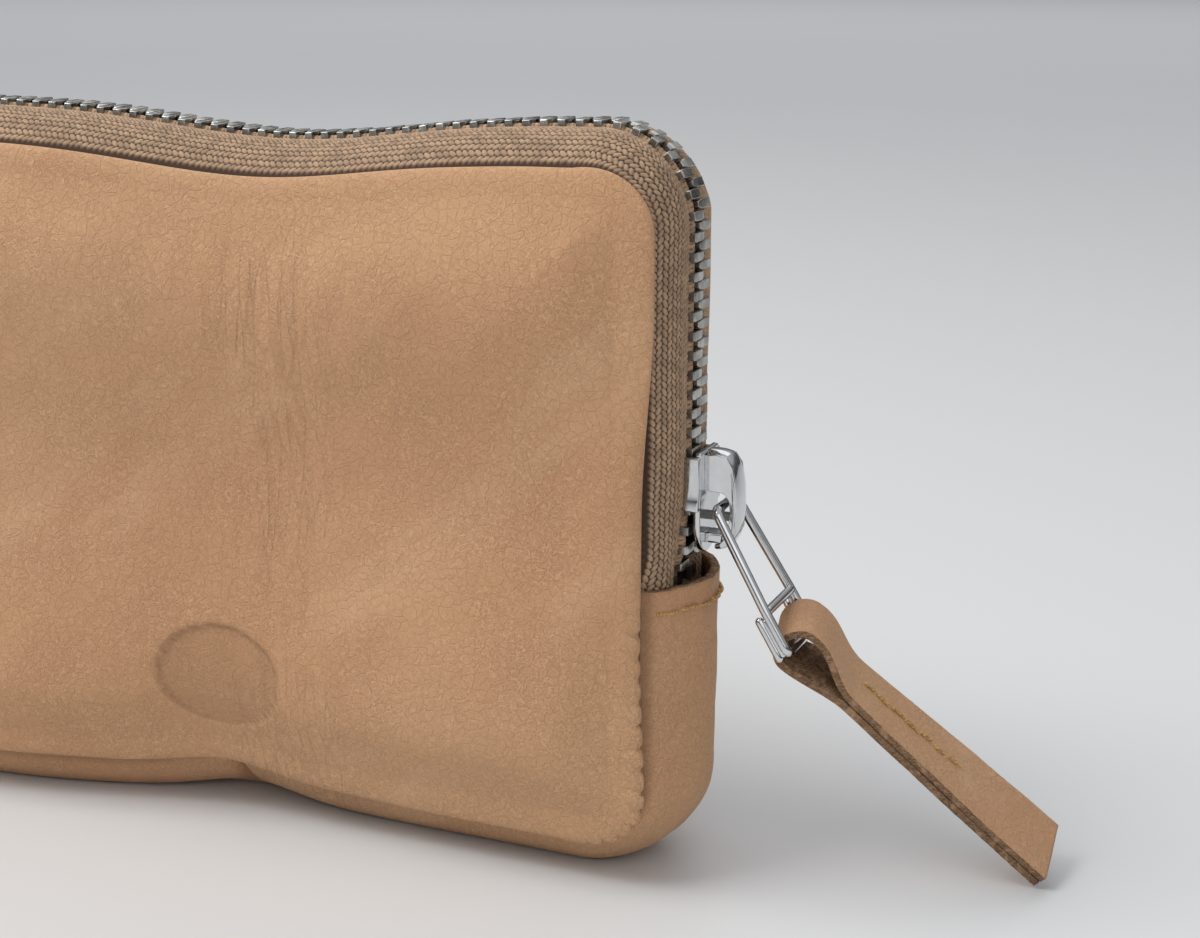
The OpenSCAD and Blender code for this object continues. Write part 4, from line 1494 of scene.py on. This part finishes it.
def end_stitches(line, s):
    """The topstitch across one end of the gusset."""
    parts = []
    for i in range(END_STITCHES):
        v = (i - 3.5) * STITCH_PITCH + 0.4 * MM
        pair = np.array([v, v + 2.5 * MM])
        place = np.full(2, s) + 0.15 * MM * np.sin(i * 2.1)
        a, b = gusset_surface(line, place, pair, 0.9 * THREAD + 0.15 * MM)
        n = line.frame(s)[1]
        parts += stitch(a, b, -0.3 * MM * n)
    return parts


class POUCH_OT_thread(bpy.types.Operator):
    """Makes the golden thread of the seams, the gusset's ends and the tab"""

    bl_idname = "pouch.thread"
    bl_label = "Thread"

    def execute(self, context):
        line = Outline(context.scene.pouch_shape)
        pull = context.scene.pouch_pull
        finish_piece(join("tab_thread", tab_stitches(pull)), "tab", "thread", "pull_tab_stitch")
        for side, word in ((-1, "front"), (1, "back")):
            seam = join(word + "_seam_thread", seam_stitches(line, side))
            finish_piece(seam, "pouch", "thread", word + "_seam_stitch")
        ends = (("right", line.gusset_right - STITCH_PITCH), ("left", line.gusset_left + STITCH_PITCH))
        for word, s in ends:
            end = join(word + "_end_thread", end_stitches(line, s))
            finish_piece(end, "pouch", "thread", word + "_end_stitch")
        return {"FINISHED"}


# ---- Stage -------------------------------------------------------------------------

CAMERA_PLACE = (0.1497, -0.2568, 0.1188)
CAMERA_AHEAD = (-0.3461, 0.9081, -0.2356)
CAMERA_UP = (-0.0898, 0.2179, 0.9718)
CAMERA_LENS = 64.19
FLOOR_HALF = 6


def area_light(name, place, target, size, power, tint):
    """A rectangular light at a place, turned to a target."""
    data = bpy.data.lights.new(name, "AREA")
    data.shape = "RECTANGLE"
    data.size, data.size_y = size
    data.energy = power
    data.color = tint
    obj = bpy.data.objects.new(name, data)
    obj.location = place
    obj.rotation_euler = (Vector(target) - Vector(place)).to_track_quat("-Z", "Y").to_euler()
    bpy.context.collection.objects.link(obj)


def studio_world():
    """Soft room light: bright overhead, greyer low down."""
    world = bpy.data.worlds.new("soft_room")
    world.use_nodes = True
    tree = world.node_tree
    background = tree.nodes["Background"]
    place = tree.nodes.new("ShaderNodeTexCoord")
    split = tree.nodes.new("ShaderNodeSeparateXYZ")
    ramp = tree.nodes.new("ShaderNodeValToRGB")
    tree.links.new(place.outputs["Generated"], split.inputs[0])
    tree.links.new(split.outputs["Z"], ramp.inputs[0])
    tree.links.new(ramp.outputs[0], background.inputs[0])
    ramp.color_ramp.elements[0].color = (0.10, 0.10, 0.105, 1)
    ramp.color_ramp.elements[1].color = (0.95, 0.97, 1.0, 1)
    for position, grey in ((0.22, 0.20), (0.42, 0.80)):
        ramp.color_ramp.elements.new(position).color = (grey, grey * 1.01, grey * 1.03, 1)
    background.inputs[1].default_value = 0.56
    bpy.context.scene.world = world


class POUCH_OT_stage(bpy.types.Operator):
    """Makes the camera, the pale floor and the soft studio light"""

    bl_idname = "pouch.stage"
    bl_label = "Stage"

    def execute(self, context):
        camera = bpy.data.objects.new("camera", bpy.data.cameras.new("camera"))
        camera.data.lens = CAMERA_LENS
        camera.data.sensor_width = 36
        camera.data.clip_start = 0.01
        ahead, up = Vector(CAMERA_AHEAD).normalized(), Vector(CAMERA_UP).normalized()
        right = ahead.cross(up)
        turn = Matrix((right, right.cross(ahead), -ahead)).transposed().to_4x4()
        camera.matrix_world = Matrix.Translation(CAMERA_PLACE) @ turn
        context.collection.objects.link(camera)
        context.scene.camera = camera
        corners = [(x * FLOOR_HALF, y * FLOOR_HALF, 0) for x, y in ((-1, -1), (1, -1), (1, 1), (-1, 1))]
        floor = new_object("floor", corners, [(0, 1, 2, 3)], materials=[material("floor")])
        area_light("window", (-0.60, -0.32, 0.92), (0, 0, 0.04), (0.8, 0.6), 9.4, (1.0, 0.985, 0.96))
        area_light("fill", (0.5, -0.7, 0.5), (0.03, 0, 0.04), (0.8, 0.8), 1.7, (0.95, 0.97, 1.0))
        area_light("far wash", (-1.2, 3.4, 3.0), (-1.2, 3.3, 0), (5.0, 4.0), 52.0, (0.97, 0.98, 1.0))
        studio_world()
        context.scene.view_settings.view_transform = "Standard"
        return {"FINISHED"}


class POUCH_PT_panel(bpy.types.Panel):
    """Lists the pouch's pieces"""

    bl_idname = "POUCH_PT_panel"
    bl_label = "Zippered pouch"
    bl_space_type = "VIEW_3D"
    bl_region_type = "UI"
    bl_category = "Pouch"

    def draw(self, context):
        for operator in OPERATORS:
            self.layout.operator(operator.bl_idname)


OPERATORS = (
    POUCH_OT_stage,
    POUCH_OT_panels,
    POUCH_OT_gusset,
    POUCH_OT_tapes,
    POUCH_OT_teeth,
    POUCH_OT_slider,
    POUCH_OT_pull_ring,
    POUCH_OT_tab,
    POUCH_OT_thread,
)
CLASSES = tuple(SETTINGS.values()) + OPERATORS + (POUCH_PT_panel,)


def register():
    for cls in CLASSES:
        bpy.utils.register_class(cls)
    for name, group in SETTINGS.items():
        setattr(bpy.types.Scene, name, PointerProperty(type=group))


def unregister():
    for name in SETTINGS:
        delattr(bpy.types.Scene, name)
    for cls in reversed(CLASSES):
        bpy.utils.unregister_class(cls)


def main():
    register()
    for operator in OPERATORS:
        group, action = operator.bl_idname.split(".")
        getattr(getattr(bpy.ops, group), action)()


if __name__ == "__main__":
    main()
